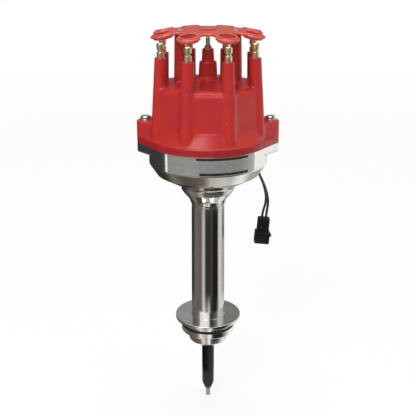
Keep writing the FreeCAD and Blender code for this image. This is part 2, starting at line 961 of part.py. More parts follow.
def rotor_contact():
    """The leaf that rises from the blade to the carbon button."""
    top = button_bottom - seat_gap
    outline = [
        (-contact_tail, blade_top),
        (-contact_foot, blade_top),
        (contact_crest, top - contact_t),
        (contact_tip, top - contact_t - contact_drop),
        (contact_tip, top - contact_drop),
        (contact_crest, top),
        (-contact_foot - contact_t, blade_top + contact_t),
        (-contact_tail, blade_top + contact_t),
    ]
    wire = rounded_wire(outline, lambda p: V(p[0], -contact_w / 2, p[1]))
    return around(Part.Face(wire).extrude(V(0, contact_w, 0)), rotor_angle)


def rotor_screws():
    length = rotor_t + rotor_screw_grip
    return Part.makeCompound(
        [
            pan_screw(rotor_screw_r, length, small_head_r, small_head_h, rotor_top, 0, side * standoff_y)
            for side in (-1, 1)
        ]
    )


# Magnetic pickup, built on +X and turned to the lead's side
def pickup_turn(shape):
    return around(shape, lead_angle)


def pickup_screw_places():
    return [
        vector_at(pickup_screw_ring, lead_angle + side * pickup_screw_angle, 0) for side in (-1, 1)
    ]


def pickup_plate():
    top = floor_z + pickup_plate_t
    sector = tube(pickup_plate_out, pickup_plate_in, floor_z, top)
    wide = 3 * pickup_plate_out
    turn = math.radians(pickup_plate_half_angle)
    out = wide * math.cos(turn)
    across = wide * math.sin(turn)
    wedge = plan([(0, 0), (out, -across), (out, across)], floor_z, top)
    plate = pickup_turn(sector.common(wedge))
    for place in pickup_screw_places():
        plate = plate.cut(rod(pickup_screw_r + hole_clearance, floor_z - 1, top + 1, place.x, place.y))
    return plate


def pickup_screws():
    top = floor_z + pickup_plate_t
    length = pickup_plate_t + pickup_screw_grip
    return Part.makeCompound(
        [
            pan_screw(pickup_screw_r, length, small_head_r, small_head_h, top, place.x, place.y)
            for place in pickup_screw_places()
        ]
    )


def pole_z():
    return reluctor_z + (reluctor_t - pole_t) / 2


def pole_start():
    return reluctor_r + pickup_gap


def coil_start():
    return pole_start() + pole_len


def magnet_start():
    return coil_start() + coil_len + pole_tail


def pickup_pole():
    bar = block(pole_start(), magnet_start(), -pole_w / 2, pole_w / 2, pole_z(), pole_z() + pole_t)
    return pickup_turn(bar)


def pickup_coil():
    half = coil_size / 2
    middle = pole_z() + pole_t / 2
    start = coil_start()
    end = start + coil_len
    base = floor_z + pickup_plate_t
    winding = Part.makeCylinder(half - coil_cheek, coil_len, V(start, 0, middle), V(1, 0, 0))
    cheeks = [
        block(start, start + coil_cheek, -half, half, base, middle + half),
        block(end - coil_cheek, end, -half, half, base, middle + half),
    ]
    bobbin = fuse_all([winding] + cheeks)
    pole_hole = block(start - 1, end + 1, -pole_w / 2, pole_w / 2, pole_z(), pole_z() + pole_t)
    return pickup_turn(bobbin.cut(pole_hole))


def pickup_magnet():
    start = magnet_start()
    base = floor_z + pickup_plate_t
    top = pole_z() + pole_t + magnet_above_pole
    return pickup_turn(block(start, start + magnet_len, -magnet_w / 2, magnet_w / 2, base, top))


# Lead and connector
def connector_top():
    """The middle of the connector's top face, as it hangs from the grommet."""
    middle, out = grommet_frame()
    return middle + connector_hang


def connector_point(across, up):
    """A point in the connector's plane, measured from the middle of its top face."""
    turn = math.radians(connector_tilt)
    return connector_top() + V(
        across * math.cos(turn) + up * math.sin(turn),
        0,
        -across * math.sin(turn) + up * math.cos(turn),
    )


def lead_points(side):
    """The wire's route: side -1 is the left wire and side 1 the right one."""
    middle, out = grommet_frame()
    across = vector_at(wire_spread * side, lead_angle + 90, 0)
    if side < 0:
        drops = [V(6.0, 1.6, -14.15), V(10.5, 1.5, -24.25), V(13.1, 1.6, -33.65), V(13.3, 1.9, -42.65)]
    else:
        drops = [V(5.8, 4.0, -14.15), V(10.8, 3.9, -24.15), V(14.1, 3.6, -33.45), V(15.7, 3.3, -42.55)]
    hanging = [middle + drop for drop in drops]
    place = side * connector_pitch / 2
    inside = [middle + across - out * lead_start, middle + across + out * lead_exit]
    plug = [connector_point(place, wire_lead_in), connector_point(place, -wire_entry)]
    return inside + hanging + plug


def route_edges(points, name):
    """Straight runs joined by tangent arcs, each as large as its two runs allow."""
    edges = []
    last = points[0]
    radii = []
    for before, here, after in zip(points, points[1:], points[2:]):
        back = before - here
        ahead = after - here
        half_turn = (math.pi - back.getAngle(ahead)) / 2
        shorter = min(back.Length, ahead.Length)
        radius = 0.45 * shorter / math.tan(half_turn)
        radii.append(round(radius, 1))
        reach = radius * math.tan(half_turn)
        back.normalize()
        ahead.normalize()
        inward = (back + ahead).normalize()
        start = here + back * reach
        end = here + ahead * reach
        middle = here + inward * (radius / math.cos(half_turn) - radius)
        edges.append(Part.LineSegment(last, start).toShape())
        edges.append(Part.Arc(start, middle, end).toShape())
        last = end
    edges.append(Part.LineSegment(last, points[-1]).toShape())
    print(name, "bend radii in mm:", radii)
    return edges


def wire(side, name):
    points = lead_points(side)
    path = Part.Wire(route_edges(points, name))
    section = Part.Wire(Part.makeCircle(wire_r, points[0], points[1] - points[0]))
    body = path.makePipeShell([section], True, False)
    ratio = body.Volume / (math.pi * wire_r**2 * path.Length)
    print(name, "length", round(path.Length, 2), "volume ratio", round(ratio, 5))
    return body


def pickup_wire_left():
    return wire(-1, "left wire")


def pickup_wire_right():
    return wire(1, "right wire")


def lead_grommet():
    body = fuse_all(
        [
            grommet_rod(grommet_r, -grommet_seat_in, -grommet_seat_out),
            grommet_rod(grommet_flange_r, -grommet_seat_out, -grommet_seat_out + grommet_flange_t),
            grommet_rod(grommet_flange_r, -grommet_seat_in - grommet_flange_t, -grommet_seat_in),
        ]
    )
    middle, out = grommet_frame()
    for side in (-1, 1):
        across = vector_at(wire_spread * side, lead_angle + 90, 0)
        body = body.cut(Part.makeCylinder(wire_r, 12, middle + across - out * 8, out))
    return body


def placed_connector(shape):
    copy = shape.copy()
    copy.rotate(V(0, 0, 0), V(0, 1, 0), connector_tilt)
    copy.translate(connector_top())
    return copy


def connector_body():
    half_w = connector_w / 2
    half_d = connector_d / 2
    foot_w = collar_w / 2
    foot_d = collar_d / 2
    upper = plan(
        [
            (-half_w, -half_d, connector_edge),
            (half_w, -half_d, connector_edge),
            (half_w, half_d, connector_edge),
            (-half_w, half_d, connector_edge),
        ],
        -connector_h,
        0,
    )
    bottom = -connector_h - connector_foot_h
    lower = plan(
        [
            (-foot_w, -foot_d, connector_edge),
            (foot_w, -foot_d, connector_edge),
            (foot_w, foot_d, connector_edge),
            (-foot_w, foot_d, connector_edge),
        ],
        bottom,
        -connector_h,
    )
    body = fuse_all([upper, lower])
    body = body.makeFillet(connector_end_edge, edges_at(body, 0.0) + edges_at(body, bottom))
    for side in (-1, 1):
        x = side * connector_pitch / 2
        body = body.cut(rod(wire_r, -wire_entry, 1, x))
        body = body.cut(rod(contact_r, bottom - 1, bottom + contact_len, x))
    return placed_connector(body)


def connector_contacts():
    foot = -connector_h - connector_foot_h
    bottom = foot + contact_inset
    contacts = []
    for side in (-1, 1):
        x = side * connector_pitch / 2
        shell = rod(contact_r, bottom, foot + contact_len, x)
        contacts.append(shell.cut(rod(contact_bore_r, foot, bottom + contact_bore, x)))
    return placed_connector(Part.makeCompound(contacts))


def connector_latch():
    """The lock tab on the connector's right side, on its foot."""
    side = collar_w / 2
    top = -connector_h - latch_top
    outline = [
        (side, top),
        (side + latch_out, top - latch_out),
        (side + latch_out, top - latch_h + latch_out / 2),
        (side, top - latch_h),
    ]
    tab = rounded_wire(outline, lambda p: V(p[0], -latch_w / 2, p[1]))
    return placed_connector(Part.Face(tab).extrude(V(0, latch_w, 0)))


# Cap, towers and terminals
def octagon(apothem, z):
    reach = apothem / math.cos(math.pi / cylinders)
    corners = [vector_at(reach, angle, z) for angle in tower_angles]
    return Part.makePolygon(corners + [corners[0]])


def lean_axis():
    """The line up the middle of a rib and its tower, built on +X."""
    foot = V(rib_foot_ring, 0, rim_z + rib_foot_h)
    top = V(tower_ring_r, 0, tower_top)
    return foot, top


def tower_rib():
    foot, top = lean_axis()
    along = (top - foot).normalize()
    length = (top - foot).Length
    cone = Part.makeCone(rib_foot_r, tower_top_r, length + 2, foot, along)
    over = block(0, 2 * tower_ring_r, -rib_foot_r, rib_foot_r, tower_top, tower_top + 2 * rib_foot_r)
    cone = cone.cut(over)
    rounded = cone.makeFillet(tower_edge, edges_at(cone, tower_top))
    return fuse_all([rounded, Part.makeSphere(rib_foot_r, foot)])


def cap_outside():
    lip = oval(lip_r, rim_z, cap_side_z)
    lip = lip.makeFillet(lip_edge, edges_at(lip, cap_side_z))
    flare = turned(
        (0, cap_side_z - lip_edge),
        (lip_r - flare_inset, cap_side_z - lip_edge),
        (lip_r - lip_edge, cap_side_z),
        (cap_base_r, cap_base_z),
        (cap_base_r - 3, cap_base_z + 2),
        (0, cap_base_z + 2),
    )
    ears = oval(panel_bottom - 1, cap_side_z - 1, cap_lug_top)
    ears = ears.makeFillet(cap_lug_edge, edges_at(ears, cap_lug_top))
    panels = Part.makeLoft([octagon(panel_bottom, cap_side_z), octagon(panel_top, cap_top)], True, True)
    panels = panels.makeFillet(cap_edge, edges_at(panels, cap_top))
    crown = turned(
        (0, cap_top - 1),
        (coil_tower_base_r + crown_w, cap_top - 1),
        (coil_tower_base_r + crown_w, cap_top),
        (coil_tower_base_r + crown_foot, cap_top + crown_h, 4.0),
        (coil_tower_base_r, coil_step_z, 1.2),
        (coil_tower_r + coil_tower_step_w, coil_step_z + 0.4, 1.0),
        (coil_tower_r, coil_tower_top, tower_edge),
        (0, coil_tower_top),
    )
    posts = []
    for side in (-1, 1):
        foot = V(side * post_x, 0, cap_top - 2)
        posts.append(Part.makeCone(post_foot_r, post_top_r, post_top - foot.z, foot, UP))
    return fuse_all([lip, flare, ears, panels, crown] + posts + polar(tower_rib(), tower_angles))


def cap_inside():
    spigot_r = bowl_bore_r - spigot_gap - spigot_wall
    roof = turned(
        (0, rim_z - spigot_h - 1),
        (spigot_r, rim_z - spigot_h - 1),
        (spigot_r, rim_z + cap_step_low),
        (cap_bore_r, rim_z + cap_step_high),
        (cap_bore_r, cap_roof, cap_bore_edge),
        (0, cap_roof),
    )
    return roof.cut(rod(button_boss_r, button_boss_bottom, cap_roof + 1))


def distributor_cap():
    spigot = rod(bowl_bore_r - spigot_gap, rim_z - spigot_h, rim_z + 1)
    body = cap_outside().fuse(spigot).cut(cap_inside())
    body = body.cut(rod(button_r + button_gap, button_boss_bottom - 1, button_spring_top))
    for side in (-1, 1):
        body = body.cut(rod(cap_screw_r + hole_clearance, rim_z - 1, cap_lug_top + 1, side * cap_screw_x))
        hole = rod(
            retainer_screw_r + thread_clearance,
            post_top - retainer_screw_len,
            post_top + 1,
            side * post_x,
        )
        body = body.cut(hole)
    for angle in tower_angles:
        body = body.cut(around(terminal_root(), angle))
    return body.cut(coil_root())


def terminal_root():
    """The part of a plug terminal that is moulded into the cap."""
    shank = rod(shank_r, electrode_bottom + 1, tower_top, tower_ring_r)
    tip = block(
        electrode_r,
        tower_ring_r,
        -electrode_w / 2,
        electrode_w / 2,
        electrode_bottom,
        electrode_bottom + electrode_h,
    )
    return fuse_all([shank, tip])


def plug_terminal():
    z0 = tower_top
    collar = z0 + terminal_collar_h
    neck = collar + terminal_neck_h
    top = z0 + terminal_h
    post = turned(
        (0, z0),
        (terminal_r, z0),
        (terminal_r, collar, terminal_edge),
        (terminal_neck_r, collar + 0.5),
        (terminal_neck_r, neck - 0.5),
        (terminal_r, neck, terminal_edge),
        (terminal_r, top, terminal_edge * 2),
        (0, top),
    )
    post.translate(V(tower_ring_r, 0, 0))
    return fuse_all([terminal_root(), post])


def coil_root():
    return rod(shank_r, button_spring_top - coil_root_in, coil_tower_top)


def coil_terminal():
    z0 = coil_tower_top
    top = z0 + coil_post_h
    groove_z = top - coil_groove_drop
    groove_r = coil_post_r - coil_groove_depth
    post = turned(
        (0, z0),
        (coil_foot_r, z0),
        (coil_foot_r, z0 + coil_foot_t, 0.3),
        (coil_post_r, z0 + coil_foot_h, 1.0),
        (coil_post_r, groove_z - coil_groove_w),
        (groove_r, groove_z - coil_groove_w + 0.4),
        (groove_r, groove_z - 0.4),
        (coil_post_r, groove_z),
        (coil_post_r, top, 0.8),
        (0, top),
    )
    return fuse_all([coil_root(), post])


def carbon_button():
    return turned(
        (0, button_bottom),
        (button_r, button_bottom, button_edge),
        (button_r, button_top),
        (0, button_top),
    )


def button_spring():
    outer = button_r - button_spring_in
    return tube(outer, outer - button_spring_t, button_top, button_spring_top)


# Wire retainer on the two posts
def retainer_outline(z0, z1):
    """Eight petals joined by scallops, each arc tangent to the next."""
    half = math.pi / cylinders
    reach = petal_ring_r
    top = petal_r**2 - reach**2 - scallop_r**2 + 2 * reach * scallop_r * math.cos(half)
    bottom = 2 * scallop_r - 2 * reach * math.cos(half) - 2 * petal_r
    dip_r = top / bottom
    dip_ring = scallop_r + dip_r
    edges = []
    for angle in tower_angles:
        petal = vector_at(petal_ring_r, angle, z0)
        before = vector_at(dip_ring, angle - 180.0 / cylinders, z0)
        after = vector_at(dip_ring, angle + 180.0 / cylinders, z0)
        following = vector_at(petal_ring_r, angle + 360.0 / cylinders, z0)
        start = petal + (before - petal).normalize() * petal_r
        end = petal + (after - petal).normalize() * petal_r
        tip = vector_at(petal_ring_r + petal_r, angle, z0)
        valley = vector_at(scallop_r, angle + 180.0 / cylinders, z0)
        rise = following + (after - following).normalize() * petal_r
        edges.append(Part.Arc(start, tip, end).toShape())
        edges.append(Part.Arc(end, valley, rise).toShape())
    return Part.Face(Part.Wire(edges)).extrude(V(0, 0, z1 - z0))


def petal_axis():
    """The middle of a petal's top face, and the way that the drooping petal faces."""
    turn = math.radians(retainer_droop)
    drop = (petal_ring_r - retainer_flat_r) * math.tan(turn)
    return V(petal_ring_r, 0, retainer_top - drop), V(math.sin(turn), 0, math.cos(turn))


def wire_retainer():
    reach = petal_ring_r + petal_r + 2
    drop = (reach - retainer_flat_r) * math.tan(math.radians(retainer_droop))
    sheet = turned(
        (0, retainer_bottom),
        (retainer_flat_r, retainer_bottom, retainer_bend_r),
        (reach, retainer_bottom - drop),
        (reach, retainer_top - drop),
        (retainer_flat_r, retainer_top, retainer_bend_r),
        (0, retainer_top),
    )
    body = sheet.common(retainer_outline(retainer_bottom - 20, retainer_top + 1))
    middle, out = petal_axis()
    rim_r = petal_hole_r + petal_rim
    rims = Part.makeCylinder(rim_r, retainer_t + petal_rim_h, middle - out * retainer_t, out)
    hole = Part.makeCylinder(petal_hole_r, 20, middle - out * 10, out)
    body = fuse_all([body] + polar(rims, tower_angles))
    for cut in polar(hole, tower_angles):
        body = body.cut(cut)
    for side in (-1, 1):
        body = body.fuse(rod(retainer_boss_r, post_top, retainer_bottom, side * post_x))
    body = body.cut(rod(coil_hole_r, retainer_bottom - 1, retainer_top + 1))
    for side in (-1, 1):
        body = body.cut(rod(retainer_screw_r + hole_clearance, post_top - 1, retainer_top + 1, side * post_x))
        seat = retainer_top - retainer_recess
        body = body.cut(rod(retainer_recess_r, seat, retainer_top + 1, side * post_x))
    return body.removeSplitter()


def retainer_screws():
    seat = retainer_top - retainer_recess
    length = retainer_screw_len + retainer_boss_h + retainer_t - retainer_recess - 1
    head_r = retainer_recess_r - 0.4
    return Part.makeCompound(
        [
            pan_screw(retainer_screw_r, length, head_r, retainer_recess, seat, side * post_x, 0)
            for side in (-1, 1)
        ]
    )


def cap_washers():
    seat = cap_lug_top
    washer = tube(cap_washer_r, cap_screw_r + hole_clearance, seat, seat + cap_washer_t, cap_screw_x)
    return Part.makeCompound([washer, around(washer, 180)])


def cap_screws():
    seat = cap_lug_top + cap_washer_t
    length = seat - rim_z + bowl_lug_h - 1.0
    return Part.makeCompound(
        [
            pan_screw(cap_screw_r, length, cap_head_r, cap_head_h, seat, side * cap_screw_x, 0)
            for side in (-1, 1)
        ]
    )


def main():
    nodes = {
        "housing": housing,
        "pilot_o_ring": pilot_o_ring,
        "lower_bushing": lower_bushing,
        "bearing_outer_race": bearing_outer_race,
        "bearing_shields": bearing_shields,
        "bearing_snap_ring": bearing_snap_ring,
        "bearing_inner_race": bearing_inner_race,
        "bearing_cage": bearing_cage,
        "bearing_balls": bearing_balls,
        "main_shaft": main_shaft,
        "shaft_snap_ring": shaft_snap_ring,
        "thrust_washer": thrust_washer,
        "advance_cam": advance_cam,
        "cam_clip": cam_clip,
        "advance_sleeve": advance_sleeve,
        "advance_plate": advance_plate,
        "reluctor": reluctor,
        "reluctor_pin": reluctor_pin,
        "weight_pins": weight_pins,
        "stop_pin": stop_pin,
        "stop_bushing": stop_bushing,
        "spring_posts": spring_posts,
        "advance_spring_a": advance_spring_a,
        "advance_spring_b": advance_spring_b,
        "rotor_standoffs": rotor_standoffs,
        "rotor": rotor,
        "rotor_blade": rotor_blade,
        "rotor_contact": rotor_contact,
        "rotor_screws": rotor_screws,
        "weight_a": weight_a,
        "weight_b": weight_b,
        "pickup_plate": pickup_plate,
        "pickup_pole": pickup_pole,
        "pickup_coil": pickup_coil,
        "pickup_magnet": pickup_magnet,
        "pickup_screws": pickup_screws,
        "pickup_wire_left": pickup_wire_left,
        "pickup_wire_right": pickup_wire_right,
        "lead_grommet": lead_grommet,
        "connector_body": connector_body,
        "connector_contacts": connector_contacts,
        "connector_latch": connector_latch,
        "distributor_cap": distributor_cap,
        "coil_terminal": coil_terminal,
        "carbon_button": carbon_button,
        "button_spring": button_spring,
        "wire_retainer": wire_retainer,
        "retainer_screws": retainer_screws,
        "cap_washers": cap_washers,
        "cap_screws": cap_screws,
    }
    os.makedirs("parts", exist_ok=True)
    for name, make in nodes.items():
        shape = make()
        if not shape.isValid():
            print(name, "is not valid")
        shape.exportStep(f"parts/{name}.step")
    for number, angle in enumerate(tower_angles, start=1):
        around(plug_terminal(), angle).exportStep(f"parts/plug_terminal_{number}.step")


main()
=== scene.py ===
import json
import math

import bmesh
import bpy
import numpy as np
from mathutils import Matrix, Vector


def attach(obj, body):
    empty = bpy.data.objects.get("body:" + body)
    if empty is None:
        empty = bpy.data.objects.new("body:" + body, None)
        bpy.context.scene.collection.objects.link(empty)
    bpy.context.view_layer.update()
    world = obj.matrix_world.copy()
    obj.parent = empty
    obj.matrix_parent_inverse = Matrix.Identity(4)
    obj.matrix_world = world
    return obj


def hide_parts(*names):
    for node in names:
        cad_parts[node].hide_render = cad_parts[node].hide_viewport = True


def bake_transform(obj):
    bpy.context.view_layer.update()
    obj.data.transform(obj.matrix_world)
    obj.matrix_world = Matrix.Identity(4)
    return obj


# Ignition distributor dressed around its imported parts. Sizes are in
# millimetres, as in the part's source, and MM turns them into metres.

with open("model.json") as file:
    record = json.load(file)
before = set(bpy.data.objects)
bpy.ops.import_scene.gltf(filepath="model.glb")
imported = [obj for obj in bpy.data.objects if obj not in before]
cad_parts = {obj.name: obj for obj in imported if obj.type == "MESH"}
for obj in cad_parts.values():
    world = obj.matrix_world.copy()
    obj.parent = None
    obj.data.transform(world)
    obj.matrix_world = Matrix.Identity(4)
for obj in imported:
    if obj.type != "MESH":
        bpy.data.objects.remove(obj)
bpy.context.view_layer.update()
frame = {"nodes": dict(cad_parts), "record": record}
MM = 0.001
TAU = 2 * math.pi
UP = Vector((0, 0, 1))

# Heights of the housing, from its foot up
PILOT_BOTTOM = -22.2
FLANGE_TOP = 3.0
TUBE_TOP = 108.0
COLLAR_Z = 122.2
BOWL_RING_Z = 137.4
FLOOR_Z = 141.0
BOWL_SIDE_Z = 146.9
RIM_Z = 163.5

# Heights of the cap and the retainer on it
CAP_SIDE_Z = 169.5
CAP_BASE_Z = 179.0
CAP_EAR_TOP = 182.5
CAP_ROOF = 206.3
CAP_TOP = 213.3
COIL_STEP_Z = 231.0
TOWER_TOP = 236.0
COIL_TOWER_TOP = 241.0
POST_TOP = 251.5
RETAINER_TOP = 256.0
RETAINER_T = 2.0

# Radii and places in the plan
BOWL_RING_R = 43.5
BOWL_R = 49.75
LUG_X = 50.5
LUG_R = 9.0
CAP_SCREW_X = 52.0
CAP_SCREW_HOLE_R = 2.35
POST_X = 22.6
TOWER_RING = 40.5
TOWERS = 8
TOWER_ANGLES = [TAU / TOWERS * (k + 0.5) for k in range(TOWERS)]
LEAD_ANGLE = math.radians(33.0)

# Metal that the cap is moulded round, and the screws' seats on it
SHANK_R = 1.6
SHANK_BOTTOM = 179.5
ELECTRODE_R = 37.1
ELECTRODE_HALF_W = 2.5
ELECTRODE_LOW = RIM_Z + 15.0
ELECTRODE_HIGH = RIM_Z + 26.0
WASHER_T = 0.8
POST_SEAT_DEPTH = 1.6


# Meshes

def put_in_scene(name, data):
    obj = bpy.data.objects.new(name, data)
    bpy.context.scene.collection.objects.link(obj)
    return obj


def shade(mesh, sharp):
    """Smooth shading, but for edges that turn by more than an angle in degrees."""
    mesh.shade_smooth()
    mesh.set_sharp_from_angle(angle=math.radians(sharp))


def clean_mesh(name, verts, faces):
    """A mesh from points in millimetres, its doubled points joined and its faces turned outwards."""
    mesh = bpy.data.meshes.new(name)
    mesh.from_pydata([tuple(c * MM for c in v) for v in verts], [], faces)
    tidy = bmesh.new()
    tidy.from_mesh(mesh)
    bmesh.ops.remove_doubles(tidy, verts=tidy.verts, dist=2e-6)
    bmesh.ops.dissolve_degenerate(tidy, edges=tidy.edges, dist=1e-7)
    bmesh.ops.recalc_face_normals(tidy, faces=tidy.faces)
    tidy.to_mesh(mesh)
    tidy.free()
    return mesh


def finish_piece(name, mesh, body, slot, sharp, stands_for, finish=None):
    """A mesh made into a piece: shaded, dressed in its slot's finish, and riding on a body if it has one."""
    shade(mesh, sharp)
    mesh.materials.append(finish or FINISHES[slot])
    obj = put_in_scene(name, mesh)
    if body:
        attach(obj, body)
    if stands_for:
        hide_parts(*stands_for)
    return obj


def add_piece(name, mesh_data, body, slot, stands_for=(), sharp=32.0, finish=None):
    """A piece from the vertices and faces of a mesh in millimetres."""
    return finish_piece(name, clean_mesh(name, *mesh_data), body, slot, sharp, stands_for, finish)


def cut_with(obj, cutters, sharp):
    """Takes closed meshes out of a piece for good, and shades it again."""
    for cutter_data in cutters:
        cutter = put_in_scene("cutter", clean_mesh("cutter", *cutter_data))
        cut = obj.modifiers.new("cut", "BOOLEAN")
        cut.operation = "DIFFERENCE"
        cut.solver = "EXACT"
        cut.object = cutter
        depsgraph = bpy.context.evaluated_depsgraph_get()
        mesh = bpy.data.meshes.new_from_object(obj.evaluated_get(depsgraph))
        obj.modifiers.clear()
        obj.data = mesh
        bpy.data.objects.remove(cutter)
    shade(obj.data, sharp)


def rounded(points, steps, closed=True):
    """(a, b) points from (a, b) or (a, b, corner radius) points."""
    out = []
    count = len(points)
    for i, point in enumerate(points):
        here = np.array(point[:2], float)
        radius = point[2] if len(point) > 2 else 0.0
        if not radius or (not closed and i in (0, count - 1)):
            out.append(tuple(here))
            continue
        back = np.array(points[i - 1][:2], float) - here
        ahead = np.array(points[(i + 1) % count][:2], float) - here
        back_len, ahead_len = np.linalg.norm(back), np.linalg.norm(ahead)
        back, ahead = back / back_len, ahead / ahead_len
        half = math.acos(max(-1.0, min(1.0, float(back @ ahead)))) / 2
        reach = min(radius / math.tan(half), 0.49 * back_len, 0.49 * ahead_len)
        radius = reach * math.tan(half)
        centre = here + (back + ahead) / np.linalg.norm(back + ahead) * radius / math.sin(half)
        first, last = here + back * reach - centre, here + ahead * reach - centre
        turn = math.atan2(first[0] * last[1] - first[1] * last[0], float(first @ last))
        for s in range(steps + 1):
            a = turn * s / steps
            out.append(
                (
                    centre[0] + first[0] * math.cos(a) - first[1] * math.sin(a),
                    centre[1] + first[0] * math.sin(a) + first[1] * math.cos(a),
                )
            )
    return out


def supported(line, closed=True):
    """The same line with extra points near the ends of its long stretches, so that they shade evenly."""
    long, inset, out = 2.0, 0.35, []
    for i, here in enumerate(line):
        out.append(here)
        if not closed and i == len(line) - 1:
            break
        ahead = line[(i + 1) % len(line)]
        length = math.hypot(ahead[0] - here[0], ahead[1] - here[1])
        if length > long and max(here[0], ahead[0]) > 1e-6:
            for share in (inset / length, 1 - inset / length):
                out.append((here[0] + (ahead[0] - here[0]) * share, here[1] + (ahead[1] - here[1]) * share))
    return out


def polar(r, a, z):
    return (r * math.cos(a), r * math.sin(a), z)


def even_angles(count):
    return [TAU * i / count for i in range(count)]


def turned_mesh(profile, turns, place=(0.0, 0.0), steps=6):
    """Vertices and faces of a closed (radius, z) profile turned about a line along Z."""
    line = supported(rounded(profile, steps))
    verts, faces = [], []
    for a in even_angles(turns):
        verts += [(place[0] + r * math.cos(a), place[1] + r * math.sin(a), z) for r, z in line]
    n = len(line)
    for k in range(turns):
        here, there = k * n, (k + 1) % turns * n
        for i in range(n):
            j = (i + 1) % n
            if line[i][0] < 1e-6 and line[j][0] < 1e-6:
                continue
            faces.append((here + i, there + i, there + j, here + j))
    return verts, faces


def stacked(rings, ends=False, loop=False):
    """Vertices and faces of a skin over rings of the same count, each closed on itself. The first and the
    last ring are left open, filled in (ends) or joined to each other (loop)."""
    verts = [v for ring in rings for v in ring]
    n, count = len(rings[0]), len(rings)
    faces = []
    for k in range(count if loop else count - 1):
        here, there = k * n, (k + 1) % count * n
        for i in range(n):
            j = (i + 1) % n
            faces.append((here + i, here + j, there + j, there + i))
    if ends:
        last = (count - 1) * n
        faces += [tuple(range(n))[::-1], tuple(range(last, last + n))]
    return verts, faces


def merged(parts):
    """Several meshes as one, without joining them."""
    verts, faces = [], []
    for part_verts, part_faces in parts:
        base = len(verts)
        verts += part_verts
        faces += [tuple(base + i for i in face) for face in part_faces]
    return verts, faces


def rod_mesh(radius, start, way, length):
    """A closed rod from a point along a direction."""
    turns = 48
    way = Vector(way).normalized()
    side = way.orthogonal().normalized()
    other = way.cross(side)
    spokes = [(side * math.cos(a) + other * math.sin(a)) * radius for a in even_angles(turns)]
    centres = [Vector(start) + way * step for step in (0.0, length)]
    return stacked([[tuple(centre + spoke) for spoke in spokes] for centre in centres], ends=True)


def box_mesh(x_ends, y_ends, z_ends, turn, place=(0.0, 0.0)):
    """A box between its ends, turned about Z and moved to a place."""
    c, s = math.cos(turn), math.sin(turn)
    corners = [(x, y, z) for x in x_ends for y in y_ends for z in z_ends]
    verts = [(place[0] + x * c - y * s, place[1] + x * s + y * c, z) for x, y, z in corners]
    faces = [(0, 1, 3, 2), (4, 6, 7, 5), (0, 4, 5, 1), (2, 3, 7, 6), (0, 2, 6, 4), (1, 5, 7, 3)]
    return verts, faces


def ear_reach(body_r, angle):
    """How far the rim's plan with its two ears reaches at an angle."""
    a = abs(math.remainder(angle, math.pi))
    lean = math.acos((body_r - LUG_R) / LUG_X)
    touch = math.atan2(LUG_R * math.sin(lean), LUG_X + LUG_R * math.cos(lean))
    if a <= touch:
        return LUG_X * math.cos(a) + math.sqrt(max(LUG_R**2 - (LUG_X * math.sin(a)) ** 2, 0.0))
    if a <= lean:
        return body_r / math.cos(a - lean)
    return body_r


# Moulded forms, from a distance to their surface

def rounded_max(a, b, r):
    """Distance to what two forms share, its edge rounded to a radius."""
    return np.minimum(np.maximum(a, b), -r) + np.hypot(np.maximum(a + r, 0), np.maximum(b + r, 0))


def rounded_min(a, b, r):
    """Distance to two forms together, with a fillet of a radius between them."""
    return np.maximum(np.minimum(a, b), r) - np.hypot(np.maximum(r - a, 0), np.maximum(r - b, 0))


def taper(r, z, r0, z0, r1, z1):
    """Distance to the side of a cone of radius r0 at z0 and r1 at z1."""
    slope = (r1 - r0) / (z1 - z0)
    return (r - r0 - (z - z0) * slope) / math.sqrt(1 + slope * slope)


def ears_plan(x, y, body_r):
    """Distance to the rim's plan with its two ears, x and y from zero up."""
    cos_a = (body_r - LUG_R) / LUG_X
    sin_a = math.sqrt(1 - cos_a * cos_a)
    along = -sin_a * x + cos_a * y
    flank = cos_a * x + sin_a * y - body_r
    beside = np.where(along > -sin_a * LUG_X, flank, np.hypot(x - LUG_X, y) - LUG_R)
    return np.where(along > 0, np.hypot(x, y) - body_r, beside)


def turned_plan(x, y, angle):
    """The distance along a bearing, and to its side."""
    return x * math.cos(angle) + y * math.sin(angle), y * math.cos(angle) - x * math.sin(angle)


def tower_distance(x, y, z, angle):
    """A rib's rounded foot and its tower, which leans a little inwards."""
    u, v = turned_plan(x, y, angle)
    foot_z, foot_ring, foot_r, top_r = RIM_Z + 11.5, 43.2, 6.4, 4.9
    leaning = 0.999
    share = (z - foot_z) / (TOWER_TOP - foot_z)
    middle = foot_ring + share * (TOWER_RING - foot_ring)
    side = (np.hypot(u - middle, v) - (foot_r + share * (top_r - foot_r))) * leaning
    foot = np.sqrt((u - foot_ring) ** 2 + v**2 + (z - foot_z) ** 2) - foot_r
    return rounded_max(np.where(z > foot_z, side, foot), z - TOWER_TOP, 0.7)


def terminal_root_distance(x, y, z, angle):
    """The shank and electrode that the cap is moulded round."""
    u, v = turned_plan(x, y, angle)
    shank = np.maximum(np.hypot(u - TOWER_RING, v) - SHANK_R, SHANK_BOTTOM - z)
    sides = np.maximum.reduce([ELECTRODE_R - u, u - TOWER_RING, np.abs(v) - ELECTRODE_HALF_W])
    return np.minimum(shank, np.maximum.reduce([sides, ELECTRODE_LOW - z, z - ELECTRODE_HIGH]))


def cap_skirt(x, y, z, r):
    """The lip over the bowl's rim, the two screw ears and the flare above them."""
    lip_r, ears_r, flare_low_r, flare_high_r, lap = 51.2, 43.6, 50.2, 45.4, 1.0
    lip = rounded_max(ears_plan(x, y, lip_r), z - CAP_SIDE_Z, 1.0)
    ears = rounded_max(ears_plan(x, y, ears_r), z - CAP_EAR_TOP, 1.6)
    flare = taper(r, z, flare_low_r, CAP_SIDE_Z, flare_high_r, CAP_BASE_Z)
    flare = np.maximum.reduce([flare, z - CAP_BASE_Z - lap, CAP_SIDE_Z - lap - z])
    skirt = rounded_min(rounded_min(lip, ears, 1.2), flare, 1.0)
    return np.maximum(skirt, ears_plan(x, y, lip_r))


